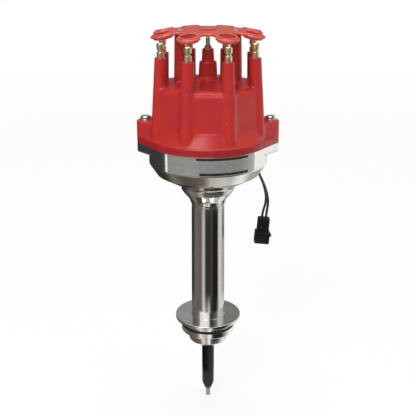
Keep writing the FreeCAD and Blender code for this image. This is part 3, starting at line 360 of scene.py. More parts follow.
def cap_panels(x, y, z, r):
    """The eight flat sides, which taper a little, with a soft bevel along their top."""
    foot_r, head_r, bevel_h = 44.6, 43.0, 3.4
    pitch = TAU / TOWERS
    angle = np.arctan2(y, x)
    sector = np.abs(angle - np.round(angle / pitch) * pitch)
    flat = taper(r * np.cos(sector), z, foot_r, CAP_SIDE_Z, head_r, CAP_TOP)
    bevel = (flat + z - CAP_TOP + bevel_h) * math.sqrt(0.5)
    return rounded_max(rounded_max(flat, z - CAP_TOP, 0.8), bevel, 1.2)


def with_coil_tower(body, z, r):
    """The body with the crown of its roof and the two steps of the centre tower."""
    crown_r, step_r, step_top_r, coil_r, coil_top_r = 29.0, 8.0, 7.0, 5.2, 4.6
    crown_top, crown_middle, crown_reach = CAP_TOP + 3.2, CAP_TOP + 3.0, 5.0
    crown = taper(r, z, crown_r, CAP_TOP, step_r, crown_top)
    body = rounded_min(body, np.maximum(crown, np.abs(z - crown_middle) - crown_reach), 1.0)
    step = rounded_max(taper(r, z, step_r, crown_top, step_top_r, COIL_STEP_Z), z - COIL_STEP_Z, 1.2)
    body = rounded_min(body, step, 3.0)
    coil = taper(r, z, coil_r, COIL_STEP_Z, coil_top_r, COIL_TOWER_TOP)
    return rounded_min(body, rounded_max(coil, z - COIL_TOWER_TOP, 0.7), 0.8)


def cap_hollow(x, y, z, r):
    """The space under the cap with the button's boss in it, the bores, and the room for the metal inside."""
    low_r, high_r, low_top, cone_top = 43.0, 37.6, RIM_Z + 4.5, RIM_Z + 12.0
    boss_r, boss_bottom, button_bore_r, button_bore_top = 6.0, CAP_ROOF - 14.0, 3.1, 199.3
    coil_shank_bottom, post_bore_r, post_bore_bottom = 190.0, 1.78, POST_TOP - 12.0
    low_bore = np.maximum(r - low_r, z - low_top)
    cone = taper(r, z, low_r, low_top, high_r, cone_top)
    cone = np.maximum(cone, np.maximum(z - cone_top, low_top - 0.5 - z))
    high_bore = np.maximum(rounded_max(r - high_r, z - CAP_ROOF, 4.0), cone_top - 0.1 - z)
    hollow = np.minimum(np.minimum(low_bore, cone), high_bore)
    hollow = np.maximum(hollow, -np.maximum(r - boss_r, boss_bottom - z))
    hollow = np.minimum(hollow, np.maximum(r - button_bore_r, z - button_bore_top))
    hollow = np.minimum(hollow, np.maximum(r - SHANK_R, coil_shank_bottom - z))
    hollow = np.minimum(hollow, np.hypot(x - CAP_SCREW_X, y) - CAP_SCREW_HOLE_R)
    hollow = np.minimum(hollow, np.maximum(np.hypot(x - POST_X, y) - post_bore_r, post_bore_bottom - z))
    for a in TOWER_ANGLES[:2]:
        hollow = np.minimum(hollow, terminal_root_distance(x, y, z, a))
    return hollow


def cap_distance(points):
    """Distance to the cap's surface. The cap is the same on both sides of X and of Y."""
    x, y, z = np.abs(points[:, 0]), np.abs(points[:, 1]), points[:, 2]
    r = np.hypot(x, y)
    spigot_r, spigot_h = 46.2, 3.0
    post_foot_r, post_top_r = 5.3, 4.4
    body = rounded_min(cap_skirt(x, y, z, r), cap_panels(x, y, z, r), 1.4)
    for a in TOWER_ANGLES[:2]:
        body = rounded_min(body, tower_distance(x, y, z, a), 1.5)
    body = with_coil_tower(body, z, r)
    post = taper(np.hypot(x - POST_X, y), z, post_foot_r, CAP_TOP - 2, post_top_r, POST_TOP)
    body = rounded_min(body, rounded_max(post, z - POST_TOP, 0.3), 1.5)
    body = np.maximum(body, RIM_Z - z)
    body = np.minimum(body, np.maximum.reduce([r - spigot_r, z - RIM_Z - 1, RIM_Z - spigot_h - z]))
    return np.maximum(body, -cap_hollow(x, y, z, r))


# Sizes of the wire retainer: its petals, the valleys between them and the bend where its sheet droops
PETAL_RING = 38.7
PETAL_R = 9.3
VALLEY_R = 29.0
DROOP = math.radians(11.0)
BEND_R = 29.5
BEND_SOFT = 6.0


def petals_plan(r, angle):
    """Distance to the retainer's plan: eight round petals with round valleys between them. Also the two
    distances from a petal's middle line."""
    half = math.pi / TOWERS
    turn = np.abs(angle - (np.floor(angle / (2 * half)) + 0.5) * 2 * half)
    u, v = r * np.cos(turn), r * np.sin(turn)
    top = PETAL_R**2 - PETAL_RING**2 - VALLEY_R**2 + 2 * PETAL_RING * VALLEY_R * math.cos(half)
    dip_r = top / (2 * VALLEY_R - 2 * PETAL_RING * math.cos(half) - 2 * PETAL_R)
    dip_u, dip_v = (VALLEY_R + dip_r) * math.cos(half), (VALLEY_R + dip_r) * math.sin(half)
    petal = np.hypot(u - PETAL_RING, v) - PETAL_R
    dip = dip_r - np.hypot(u - dip_u, v - dip_v)
    beyond = (u - PETAL_RING) * dip_v - v * (dip_u - PETAL_RING) > 0
    outline = np.where(beyond, petal, dip)
    return np.where(v > dip_v * 1.5, np.minimum(outline, petal), outline), u, v


def retainer_distance(points):
    """Distance to the wire retainer: its drooping sheet, the petals' rims and the holes."""
    x, y, z = np.abs(points[:, 0]), np.abs(points[:, 1]), points[:, 2]
    r = np.hypot(x, y)
    post_r = np.hypot(x - POST_X, y)
    rim_r, rim_up, rim_down, hole, middle_hole = 7.8, 0.9, 1.5, 6.4, 7.5
    screw_hole_r, screw_head_r, true_share = 2.1, 3.6, 0.985
    slope = math.tan(DROOP)
    bend = r - BEND_R
    droop = slope * 0.5 * (bend + np.sqrt(bend * bend + BEND_SOFT))
    top = RETAINER_TOP - droop + slope * 0.5 * (math.sqrt(BEND_R**2 + BEND_SOFT) - BEND_R)
    sheet = rounded_max((z - top) * true_share, (top - RETAINER_T - z) * true_share, 0.5)
    outline, u, v = petals_plan(r, np.arctan2(y, x))
    body = rounded_max(sheet, outline, 0.6)
    rise = z - RETAINER_TOP + (PETAL_RING - BEND_R) * slope
    across = (u - PETAL_RING) * math.cos(DROOP) - rise * math.sin(DROOP)
    up = (u - PETAL_RING) * math.sin(DROOP) + rise * math.cos(DROOP)
    hole_r = np.hypot(across, v)
    rim = rounded_max(rounded_max(hole_r - rim_r, up - rim_up, 0.4), -RETAINER_T - rim_down - up, 0.3)
    body = rounded_min(body, rim, 0.5)
    body = rounded_max(body, hole - hole_r, 0.35)
    body = rounded_max(body, middle_hole - r, 0.5)
    body = np.maximum(body, screw_hole_r - post_r)
    return np.maximum(body, -np.maximum(post_r - screw_head_r, RETAINER_TOP - POST_SEAT_DEPTH - z))


# The eight corners of a grid cell, and the twelve pairs of them that an edge joins
CORNERS = [(dx, dy, dz) for dx in (0, 1) for dy in (0, 1) for dz in (0, 1)]
EDGES = [(a, b) for a in range(8) for b in range(a + 1, 8) if bin(a ^ b).count("1") == 1]


def cell_quads(inside, number, axis):
    """The four cells round each grid edge along an axis that crosses the surface."""
    other = [k for k in range(3) if k != axis]
    span, ahead = [slice(None)] * 3, [slice(None)] * 3
    span[axis], ahead[axis] = slice(0, -1), slice(1, None)
    edges = np.argwhere(inside[tuple(span)] != inside[tuple(ahead)])
    keep = (edges[:, other[0]] > 0) & (edges[:, other[1]] > 0)
    keep &= (edges[:, other[0]] < number.shape[other[0]]) & (edges[:, other[1]] < number.shape[other[1]])
    edges = edges[keep]
    around = []
    for da, db in ((1, 1), (0, 1), (0, 0), (1, 0)):
        cell = edges.copy()
        cell[:, other[0]] -= da
        cell[:, other[1]] -= db
        around.append(number[tuple(cell.T)])
    quads = np.stack(around, 1)
    outward = inside[tuple(edges.T)] == (axis != 1)
    quads[~outward] = quads[~outward][:, ::-1]
    return quads


def moulded_mesh(distance, low, high, step):
    """A quad mesh of the zero surface of a distance, made cell by cell and pulled onto it."""
    axes = [np.arange(a - step / 2, b + step, step) for a, b in zip(low, high)]
    grid = np.stack(np.meshgrid(*axes, indexing="ij"), -1)
    field = distance(grid.reshape(-1, 3)).reshape(grid.shape[:3])
    inside = field < 0
    nx, ny, nz = (count - 1 for count in inside.shape)
    corner_in = [inside[dx : nx + dx, dy : ny + dy, dz : nz + dz] for dx, dy, dz in CORNERS]
    some = np.logical_or.reduce(corner_in) & ~np.logical_and.reduce(corner_in)
    cells = np.argwhere(some)
    number = np.full(some.shape, -1)
    number[tuple(cells.T)] = np.arange(len(cells))
    offsets = np.array(CORNERS)
    corners = cells[:, None, :] + offsets[None]
    values = field[corners[..., 0], corners[..., 1], corners[..., 2]]
    total, crossed = np.zeros((len(cells), 3)), np.zeros(len(cells))
    for a, b in EDGES:
        va, vb = values[:, a], values[:, b]
        hit = (va < 0) != (vb < 0)
        t = np.where(hit, va / np.where(hit, va - vb, 1.0), 0.0)[:, None]
        total += np.where(hit[:, None], offsets[a] + (offsets[b] - offsets[a]) * t, 0.0)
        crossed += hit
    origin = np.array([a[0] for a in axes])
    verts = origin + (cells + total / crossed[:, None]) * step
    faces = np.concatenate([cell_quads(inside, number, axis) for axis in range(3)])
    return pulled(verts, distance, step), faces[(faces >= 0).all(1)]


def pulled(verts, distance, step):
    """The vertices moved onto the surface, by no more than most of a step."""
    start = verts.copy()
    tiny, rounds, flattest, most = 0.01, 3, 0.25, 0.8
    for _ in range(rounds):
        here = distance(verts)
        slope = np.stack([(distance(verts + tiny * e) - here) / tiny for e in np.eye(3)], 1)
        size = np.maximum((slope**2).sum(1), flattest)
        verts = verts - slope * (here / size)[:, None]
    moved = verts - start
    far = np.linalg.norm(moved, axis=1, keepdims=True)
    return start + moved * np.minimum(1.0, most * step / np.maximum(far, 1e-9))


def moulded_piece(name, distance, low, high, step, slot, stands_for):
    """A piece of the housing's body from the distance to its surface, between two corners."""
    verts, faces = moulded_mesh(distance, low, high, step)
    mesh = bpy.data.meshes.new(name)
    mesh.vertices.add(len(verts))
    mesh.vertices.foreach_set("co", (verts * MM).astype(np.float32).ravel())
    mesh.loops.add(faces.size)
    mesh.loops.foreach_set("vertex_index", faces.astype(np.int32).ravel())
    mesh.polygons.add(len(faces))
    mesh.polygons.foreach_set("loop_start", np.arange(0, faces.size, 4, dtype=np.int32))
    mesh.update(calc_edges=True)
    mesh.validate()
    return finish_piece(name, mesh, "housing", slot, 40.0, stands_for)


# Materials

def paint(hex_colour):
    """A colour written as it looks, turned into the shader's linear values."""
    parts = [int(hex_colour[i : i + 2], 16) / 255 for i in (0, 2, 4)]
    return tuple(c / 12.92 if c <= 0.04045 else ((c + 0.055) / 1.055) ** 2.4 for c in parts) + (1.0,)


class Tree:
    """Adds nodes to a node tree and joins them."""

    def __init__(self, tree):
        self.tree = tree

    def node(self, kind, links=None, settings=None, **values):
        made = self.tree.nodes.new(kind)
        for key, value in (settings or {}).items():
            setattr(made, key, value)
        for key, value in values.items():
            made.inputs[key.replace("_", " ")].default_value = value
        for key, source in (links or {}).items():
            self.tree.links.new(source, made.inputs[key])
        return made

    def give(self, made, inputs):
        """Sets each numbered input to a value, or joins it to another node's output."""
        for index, value in inputs:
            if isinstance(value, (int, float, tuple)):
                made.inputs[index].default_value = value
            else:
                self.tree.links.new(value, made.inputs[index])

    def maths(self, operation, a, b, clamp=False):
        made = self.node("ShaderNodeMath", None, {"operation": operation, "use_clamp": clamp})
        self.give(made, ((0, a), (1, b)))
        return made.outputs[0]

    def ramp(self, source, low, high, to_low=0.0, to_high=1.0):
        made = self.node("ShaderNodeMapRange")
        self.give(made, ((0, source), (1, low), (2, high), (3, to_low), (4, to_high)))
        return made.outputs[0]

    def blend(self, share, a, b):
        made = self.node("ShaderNodeMix", None, {"data_type": "RGBA", "clamp_factor": True})
        self.give(made, ((0, share), (6, a), (7, b)))
        return made.outputs[2]

    def noise(self, vector, scale, **values):
        made = self.node("ShaderNodeTexNoise", {"Vector": vector}, **values)
        self.give(made, (("Scale", scale),))
        return made.outputs

    def spot(self):
        return self.node("ShaderNodeTexCoord").outputs["Object"]

    def place(self):
        """A point's coordinates, and its distance from the Z axis."""
        split = self.node("ShaderNodeSeparateXYZ", {"Vector": self.spot()}).outputs
        flat = self.node("ShaderNodeCombineXYZ", {"X": split["X"], "Y": split["Y"]}).outputs[0]
        return split, self.node("ShaderNodeVectorMath", {0: flat}, {"operation": "LENGTH"}).outputs["Value"]

    def seen_directly(self):
        """One for camera, gloss and glass rays, and zero for the rest."""
        path = self.node("ShaderNodeLightPath").outputs
        seen = self.maths("ADD", path["Is Camera Ray"], path["Is Glossy Ray"], clamp=True)
        return self.maths("ADD", seen, path["Is Transmission Ray"], clamp=True)


def new_group(name, inputs, outputs):
    """A shader node group with named sockets: inputs are (name, default) and outputs (name, kind)."""
    group = bpy.data.node_groups.new(name, "ShaderNodeTree")
    for label, value in inputs:
        kind = "NodeSocketColor" if isinstance(value, tuple) else "NodeSocketFloat"
        socket = group.interface.new_socket(label, in_out="INPUT", socket_type=kind)
        socket.default_value = value
    for label, kind in outputs:
        group.interface.new_socket(label, in_out="OUTPUT", socket_type=kind)
    tree = Tree(group)
    into = group.nodes.new("NodeGroupInput")
    out = group.nodes.new("NodeGroupOutput")
    return group, tree, into.outputs, out.inputs


def turning_marks_group():
    """Fine rings left by a lathe tool, from the height and the radius of a point."""
    group, t, given, out = new_group(
        "turning marks",
        [("Rings per mm", 4.0), ("Unevenness", 0.5)],
        [("Height", "NodeSocketFloat"), ("Tone", "NodeSocketFloat")],
    )
    split, radius = t.place()
    rings = t.maths("MULTIPLY", given["Rings per mm"], 1000.0)
    around = t.node("ShaderNodeMath", {0: t.maths("ARCTAN2", split["Y"], split["X"])}, {"operation": "SINE"})
    across = t.maths("MULTIPLY", radius, rings)
    along = t.maths("MULTIPLY", split["Z"], rings)
    wander = t.maths("MULTIPLY", around.outputs[0], 0.35)
    vector = t.node("ShaderNodeCombineXYZ", {"X": across, "Y": along, "Z": wander}).outputs[0]
    fine = t.noise(vector, 1.0, Detail=3.0, Roughness=0.6)[0]
    coarse = t.noise(vector, 0.13, Detail=2.0)[0]
    mixed = t.node("ShaderNodeMix", {0: given["Unevenness"], 2: fine, 3: coarse}).outputs[0]
    t.tree.links.new(mixed, out["Height"])
    t.tree.links.new(coarse, out["Tone"])
    return group


def fine_grain_group():
    """The even, slightly cloudy surface of a moulded or cast piece."""
    group, t, given, out = new_group(
        "fine grain",
        [("Grains per mm", 3.0), ("Cloud size mm", 14.0)],
        [("Height", "NodeSocketFloat"), ("Cloud", "NodeSocketFloat")],
    )
    spot = t.spot()
    fine = t.noise(spot, t.maths("MULTIPLY", given["Grains per mm"], 1000.0), Detail=2.0)[0]
    cloud = t.noise(spot, t.maths("DIVIDE", 1000.0, given["Cloud size mm"]), Detail=3.0)[0]
    t.tree.links.new(fine, out["Height"])
    t.tree.links.new(cloud, out["Cloud"])
    return group


def edge_wear_and_highlight_group():
    """A mask of outer edges, broken up by noise: wear on metal edges, and painted highlights on moulded ones.
    """
    group, t, given, out = new_group(
        "edge wear and highlight",
        [("Start", 0.52), ("Full", 0.6), ("Patch size mm", 2.0)],
        [("Mask", "NodeSocketFloat")],
    )
    point = t.node("ShaderNodeNewGeometry").outputs["Pointiness"]
    patches = t.noise(t.spot(), t.maths("DIVIDE", 1000.0, given["Patch size mm"]), Detail=4.0)[0]
    edge = t.ramp(point, given["Start"], given["Full"])
    t.tree.links.new(t.maths("MULTIPLY", edge, t.ramp(patches, 0.35, 0.6)), out["Mask"])
    return group


def hairlines_group():
    """Sparse hairline scratches and rub marks in all directions."""
    group, t, given, out = new_group(
        "hairlines",
        [("Spacing mm", 6.0), ("Width", 0.012)],
        [("Mask", "NodeSocketFloat")],
    )
    spot = t.spot()
    scale = t.maths("DIVIDE", 1000.0, given["Spacing mm"])
    bend = t.noise(spot, t.maths("MULTIPLY", scale, 0.4))["Color"]
    moved = t.node("ShaderNodeMix", {4: spot, 5: bend}, {"data_type": "VECTOR"})
    moved.inputs[0].default_value = 0.02
    links = {"Vector": moved.outputs[1], "Scale": scale}
    cells = t.node("ShaderNodeTexVoronoi", links, {"feature": "DISTANCE_TO_EDGE"}).outputs[0]
    line = t.maths("LESS_THAN", cells, given["Width"])
    fade = t.noise(spot, scale, Detail=2.0)[0]
    t.tree.links.new(t.maths("MULTIPLY", line, t.ramp(fade, 0.5, 0.62)), out["Mask"])
    return group


def place_mask_group():
    """A mask between two heights and outside a radius, in millimetres, with soft ends."""
    group, t, given, out = new_group(
        "height and radius mask",
        [("Low mm", 0.0), ("High mm", 1.0), ("Inner radius mm", 0.0), ("Soft mm", 0.1)],
        [("Mask", "NodeSocketFloat")],
    )
    split, radius = t.place()
    tall = t.maths("MULTIPLY", split["Z"], 1000.0)
    wide = t.maths("MULTIPLY", radius, 1000.0)

    def beyond(value, limit):
        return t.maths("DIVIDE", t.maths("SUBTRACT", value, limit), given["Soft mm"], clamp=True)

    mask = t.maths("MULTIPLY", beyond(tall, given["Low mm"]), beyond(given["High mm"], tall))
    mask = t.maths("MULTIPLY", mask, beyond(wide, given["Inner radius mm"]))
    t.tree.links.new(mask, out["Mask"])
    return group


turning_marks = turning_marks_group()
fine_grain = fine_grain_group()
edge_wear_and_highlight = edge_wear_and_highlight_group()
hairlines = hairlines_group()
place_mask = place_mask_group()


def empty_material(name):
    material = bpy.data.materials.new(name)
    material.use_nodes = True
    material.node_tree.nodes.clear()
    return material, Tree(material.node_tree)


def start_material(name):
    material, t = empty_material(name)
    shader = t.node("ShaderNodeBsdfPrincipled")
    t.node("ShaderNodeOutputMaterial", {"Surface": shader.outputs[0]})
    return material, t, shader


def place_group(t, group, **values):
    made = t.tree.nodes.new("ShaderNodeGroup")
    made.node_tree = group
    for key, value in values.items():
        made.inputs[key.replace("_", " ")].default_value = value
    return made.outputs


def zone_mask(t, limits):
    low, high, inner, soft = limits
    return place_group(t, place_mask, Low_mm=low, High_mm=high, Inner_radius_mm=inner, Soft_mm=soft)["Mask"]


def give_surface(t, shader, colour, roughness, height, depth, distance):
    """Feeds a shader its colour, its roughness and its relief."""
    t.tree.links.new(colour, shader.inputs["Base Color"])
    t.tree.links.new(roughness, shader.inputs["Roughness"])
    bump = t.node("ShaderNodeBump", {"Height": height}, Strength=depth, Distance=distance)
    t.tree.links.new(bump.outputs[0], shader.inputs["Normal"])


def metal(
    name, base, dark, rough, rings, ring_depth=0.3, tone=0.25, line=0.25,
    wear=None, zone=None, metallic=1.0,
):
    """A turned or ground metal with tool rings, tone changes and hairlines. A zone is a part of the piece
    with a finish of its own: its limits (low, high, inner radius, softness), colour and roughness."""
    material, t, shader = start_material(name)
    marks = place_group(t, turning_marks, Rings_per_mm=rings)
    grain = place_group(t, fine_grain, Grains_per_mm=5.0, Cloud_size_mm=22.0)
    lines = place_group(t, hairlines, Spacing_mm=7.0)
    shade_share = t.maths("MULTIPLY", t.ramp(marks["Tone"], 0.3, 0.7), tone)
    cloud_share = t.maths("MULTIPLY", t.ramp(grain["Cloud"], 0.45, 0.75), 0.3)
    colour = t.blend(cloud_share, t.blend(shade_share, paint(base), paint(dark)), paint(dark))
    if wear:
        colour = t.blend(place_group(t, edge_wear_and_highlight)["Mask"], colour, paint(wear))
    uneven = t.ramp(grain["Cloud"], 0.3, 0.7, rough * 0.75, rough * 1.35)
    uneven = t.maths("ADD", uneven, t.maths("MULTIPLY", lines["Mask"], line), clamp=True)
    if zone:
        limits, zone_colour, zone_rough = zone
        mask = zone_mask(t, limits)
        mottled = t.blend(t.ramp(grain["Cloud"], 0.35, 0.7), paint(zone_colour), paint(dark))
        colour = t.blend(mask, colour, t.blend(0.25, paint(zone_colour), mottled))
        mixed = t.node("ShaderNodeMix", {0: mask, 2: uneven})
        mixed.inputs[3].default_value = zone_rough
        uneven = mixed.outputs[0]
    shader.inputs["Metallic"].default_value = metallic
    give_surface(t, shader, colour, uneven, marks["Height"], ring_depth, 0.00002)
    return material


def moulding(
    name, base, other, rough, grains=2.5, depth=0.25, coat=0.0, cloud=18.0,
    painted_edge_highlight=None, specular=0.5, zone=None,
):
    """A moulded plastic or rubber with grain, clouds of tone and painted highlights on its outer edges. A
    zone is a band of the piece painted in another colour, which the cap uses for painted shade: its limits
    (low, high, inner radius, softness) and colour."""
    material, t, shader = start_material(name)
    grain = place_group(t, fine_grain, Grains_per_mm=grains, Cloud_size_mm=cloud)
    lines = place_group(t, hairlines, Spacing_mm=9.0, Width=0.01)
    colour = t.blend(t.ramp(grain["Cloud"], 0.35, 0.7), paint(base), paint(other))
    # Painted highlight: the outer edges turn towards a lighter colour.
    if painted_edge_highlight:
        edges = place_group(t, edge_wear_and_highlight, Patch_size_mm=3.0)
        colour = t.blend(t.maths("MULTIPLY", edges["Mask"], 0.6), colour, paint(painted_edge_highlight))
    # A zone paints one band in another colour; the cap's darker lip band is painted shade.
    if zone:
        limits, zone_colour = zone
        colour = t.blend(zone_mask(t, limits), colour, paint(zone_colour))
    uneven = t.ramp(grain["Cloud"], 0.3, 0.7, rough * 0.85, rough * 1.2)
    uneven = t.maths("ADD", uneven, t.maths("MULTIPLY", lines["Mask"], 0.15), clamp=True)
    shader.inputs["Specular IOR Level"].default_value = specular
    shader.inputs["Coat Weight"].default_value = coat
    shader.inputs["Coat Roughness"].default_value = 0.12
    give_surface(t, shader, colour, uneven, grain["Height"], depth, 0.00004)
    return material


FINISHES = {
    "polished_aluminium": metal(
        "polished billet", "dddcd8", "c2c0bb", 0.09, rings=6.0, ring_depth=0.04, tone=0.1, line=0.1,
        zone=((2.9, 3.2, 15.0, 0.05), "f4f4f2", 0.13),
    ),
    "rubber": moulding("sealing rubber", "161616", "211f22", 0.5),
    "bronze": metal("oil bronze", "b08a55", "7d5c34", 0.34, rings=6.0),
    "bearing_steel": metal("ground bearing steel", "d8dadc", "a9abae", 0.16, rings=8.0),
    "black_oxide_steel": metal(
        "black oxide", "3b3a3b", "252426", 0.24, rings=5.0, wear="77736e",
        zone=((-90.0, -72.5, -1.0, 2.5), "a3a2a0", 0.32),
    ),
    "zinc_steel": metal("bright zinc", "cfcfc8", "a8a79d", 0.26, rings=6.0),
    "plain_steel": metal("ground steel", "a6a6a7", "7f7f80", 0.30, rings=5.0),
    "magnet": moulding("sintered magnet", "3a3a3c", "2b2b2d", 0.55, grains=4.0),
    "coil_bobbin": moulding("coil bobbin", "1b1b1f", "27262b", 0.4),
    "nylon": moulding("white nylon", "ddd6c2", "cfc6ac", 0.42),
    # The cap's lighter edge colour is a painted highlight, and its darker lip band from 160 to 170 mm is
    # painted shade.
    "red_cap": moulding(
        "red cap moulding", "b3281e", "a92229", 0.33, grains=1.6, depth=0.18, coat=0.1, painted_edge_highlight="d0604f",
        specular=0.28, zone=((160.0, 170.0, -1.0, 1.2), "951a21"),
    ),
    # The pale pink edge colour on the retainer's rims is a painted highlight.
    "red_retainer": moulding(
        "red retainer moulding", "bf4436", "a33029", 0.36, grains=1.6, depth=0.3, coat=0.12, painted_edge_highlight="f4b0a0",
        specular=0.4, cloud=6.0,
    ),
    "rotor_plastic": moulding("rotor moulding", "b02420", "931b1c", 0.32, coat=0.2),
    "brass": metal("turned brass", "efdfb6", "b39c70", 0.30, rings=5.0, ring_depth=0.35),
    "carbon": moulding("pressed carbon", "202020", "161616", 0.6, grains=6.0),
    "wire_jacket": moulding("wire jacket", "3a3c3c", "2a2c2d", 0.42, grains=3.0),
    "connector_plastic": moulding(
        "connector nylon", "100e12", "17151a", 0.36, grains=5.0, depth=0.3, specular=0.35
    ),
}

SLOT_OF = {row["node"]: row["material_slot"] for row in frame["record"]["subparts"]}
for node_name, node_object in frame["nodes"].items():
    finish = FINISHES[SLOT_OF[node_name]]
    if node_object.material_slots:
        for place in node_object.material_slots:
            place.material = finish
    else:
        node_object.data.materials.append(finish)


# Stage: floor, world, lamps and the surround that only reflections see

def floor_material():
    """A plain diffuse that camera, gloss and glass rays see as nearly white, all white from 2 m away."""
    material, t = empty_material("pale floor")
    away = t.node("ShaderNodeVectorMath", {0: t.spot()}, {"operation": "LENGTH"}).outputs["Value"]
    near, far, near_share = 0.35, 2.0, 0.86
    share = t.maths("MULTIPLY", t.seen_directly(), t.ramp(away, near, far, near_share, 1.0))
    diffuse = t.node("ShaderNodeBsdfDiffuse", Color=(0.8, 0.8, 0.8, 1.0)).outputs[0]
    white = t.node("ShaderNodeEmission", Color=(1, 1, 1, 1), Strength=1.0).outputs[0]
    mix = t.node("ShaderNodeMixShader", {0: share, 1: diffuse, 2: white})
    t.node("ShaderNodeOutputMaterial", {"Surface": mix.outputs[0]})
    return material


def build_floor():
    half, z = 14.0, -0.0821
    corners = [(-half, -half, z), (half, -half, z), (half, half, z), (-half, half, z)]
    mesh = bpy.data.meshes.new("floor")
    mesh.from_pydata(corners, [], [(0, 1, 2, 3)])
    mesh.materials.append(floor_material())
    put_in_scene("floor", mesh)


def build_world():
    world = bpy.data.worlds.new("studio")
    bpy.context.scene.world = world
    world.use_nodes = True
    world.node_tree.nodes.clear()
    t = Tree(world.node_tree)
    fill = t.node("ShaderNodeBackground", Color=(1, 1, 1, 1), Strength=0.45).outputs[0]
    white = t.node("ShaderNodeBackground", Color=(1, 1, 1, 1), Strength=1.0).outputs[0]
    mix = t.node("ShaderNodeMixShader", {0: t.seen_directly(), 1: fill, 2: white})
    t.node("ShaderNodeOutputWorld", {"Surface": mix.outputs[0]})


# Tones of the surround at each bearing in degrees, from the camera to the right: on the floor from
# close by to far out, and high up the wall
NEAR_TONES = [
    (-180, "3c3a3a"), (-110, "464444"), (-60, "5d5751"), (-22, "6e665a"), (-8, "8d867c"), (10, "bdb9b3"),
    (60, "d4d1cd"), (95, "e2e0dc"), (140, "a8a6a3"), (180, "5d5b5a"),
]
MIDDLE_TONES = [
    (-180, "6b6560"), (-110, "7a736c"), (-84, "5c554d"), (-60, "6c6459"), (-44, "7a7366"), (-38, "b0a9a1"),
    (-30, "f2ebe6"), (-22, "f0e8e4"), (-14, "bcb4b6"), (-4, "c4bbc0"), (3, "ffffff"), (10, "fdf6fb"),
    (17, "7d777b"), (22, "2c292b"), (54, "242122"), (62, "5a5755"), (78, "b7b5b6"), (92, "ececeb"),
    (110, "ffffff"), (150, "f0f0ef"), (180, "8c8a87"),
]
FAR_TONES = [
    (-180, "302e2e"), (-150, "343233"), (-116, "3c3938"), (-106, "6a6562"), (-84, "726d69"), (-60, "6b625c"),
    (-46, "6f665f"), (-41, "a8a29d"), (-36, "c4bfbb"), (-24, "cbc7c4"), (-19, "4a4647"), (-8, "373334"),
    (14, "353132"), (20, "474243"), (28, "474243"), (36, "211e1e"), (62, "201d1c"), (71, "343130"),
    (76, "c9c7c3"), (90, "deddd9"), (106, "d5d4d0"), (114, "aeaca8"), (150, "a6a4a0"), (180, "8c8a87"),
]
OUTER_TONES = [
    (-180, "303236"), (-104, "3b3d40"), (-92, "45474a"), (-84, "8e8c8a"), (-30, "8a8886"), (0, "6f6d6b"),
    (60, "6f6d6b"), (86, "c9c8c5"), (98, "ffffff"), (140, "fbfaf8"), (180, "8c8a87"),
]
HIGH_TONES = [
    (-180, "8b8b8b"), (-165, "8b8b8b"), (-125, "5f5953"), (-66, "7d766c"), (-54, "ffffff"), (6, "ffffff"),
    (14, "3c3a3a"), (64, "353333"), (74, "d8d6d4"), (110, "d6d4d2"), (160, "7d7a76"), (180, "74726e"),
]


def bearing_ramp(t, share, tones):
    """A tone for each bearing. The share runs from 0 to 1 as the bearing goes once round."""
    made = t.node("ShaderNodeValToRGB", {0: share})
    stops = made.color_ramp.elements
    while len(stops) < len(tones):
        stops.new(0.5)
    for stop, (bearing, colour) in zip(stops, tones):
        stop.position = (bearing + 180.0) / 360.0
        stop.color = paint(colour)
    return made.outputs[0]


def surround_material():
    """Tones by bearing, each band of distance and height fading into the next."""
    material, t = empty_material("surround tones")
    split, radius = t.place()
    bearing = t.maths("ARCTAN2", split["X"], t.maths("MULTIPLY", split["Y"], -1.0))
    share = t.ramp(bearing, -math.pi, math.pi)
    bands = [
        (radius, 0.10, 0.13, MIDDLE_TONES),
        (radius, 0.17, 0.24, FAR_TONES),
        (radius, 0.56, 0.68, OUTER_TONES),
        (split["Z"], 0.3, 0.55, HIGH_TONES),
    ]
    tone = bearing_ramp(t, share, NEAR_TONES)
    for measure, start, full, tones in bands:
        tone = t.blend(t.ramp(measure, start, full), tone, bearing_ramp(t, share, tones))
    glow = t.node("ShaderNodeEmission", {"Color": tone}, Strength=1.15)
    t.node("ShaderNodeOutputMaterial", {"Surface": glow.outputs[0]})
    return material


def build_surround():
    """A studio surround on the floor and standing round it, which only reflections see."""
    floor_z, steps = -0.0815, 90
    wall_r, wall_middle, wall_top = 1.3, 0.5, 1.6
    levels = [(r, floor_z) for r in (0.045, 0.14, 0.3, 0.62, wall_r)]
    levels += [(wall_r, wall_middle), (wall_r, wall_top)]
    rings = [[(math.sin(a) * r, -math.cos(a) * r, z) for a in even_angles(steps)] for r, z in levels]
    mesh = bpy.data.meshes.new("surround")
    verts, faces = stacked(rings)
    mesh.from_pydata(verts, [], faces)
    mesh.materials.append(surround_material())
    surround = put_in_scene("surround", mesh)
    for ray in ("camera", "diffuse", "transmission", "volume_scatter", "shadow"):
        setattr(surround, f"visible_{ray}", False)


def build_lamp(name, place, target, size, power):
    """A square lamp that looks from its place at its target."""
    data = bpy.data.lights.new(name, "AREA")
    data.shape = "SQUARE"
    data.size = size
    data.energy = power
    lamp = put_in_scene(name, data)
    lamp.location = place
    lamp.rotation_euler = (Vector(target) - Vector(place)).to_track_quat("-Z", "Y").to_euler()


def build_camera():
    """The camera that was fitted to the photograph. The focal length and the width are in pixels."""
    focal, width, sensor, lean = 755.0, 416.0, 36.0, 70.4
    data = bpy.data.cameras.new("camera")
    data.sensor_width = sensor
    data.lens = sensor * focal / width
    camera = put_in_scene("camera", data)
    camera.location = (0.0, -0.618, 0.3241)
    camera.rotation_euler = (math.radians(lean), 0.0, 0.0)
    bpy.context.scene.camera = camera


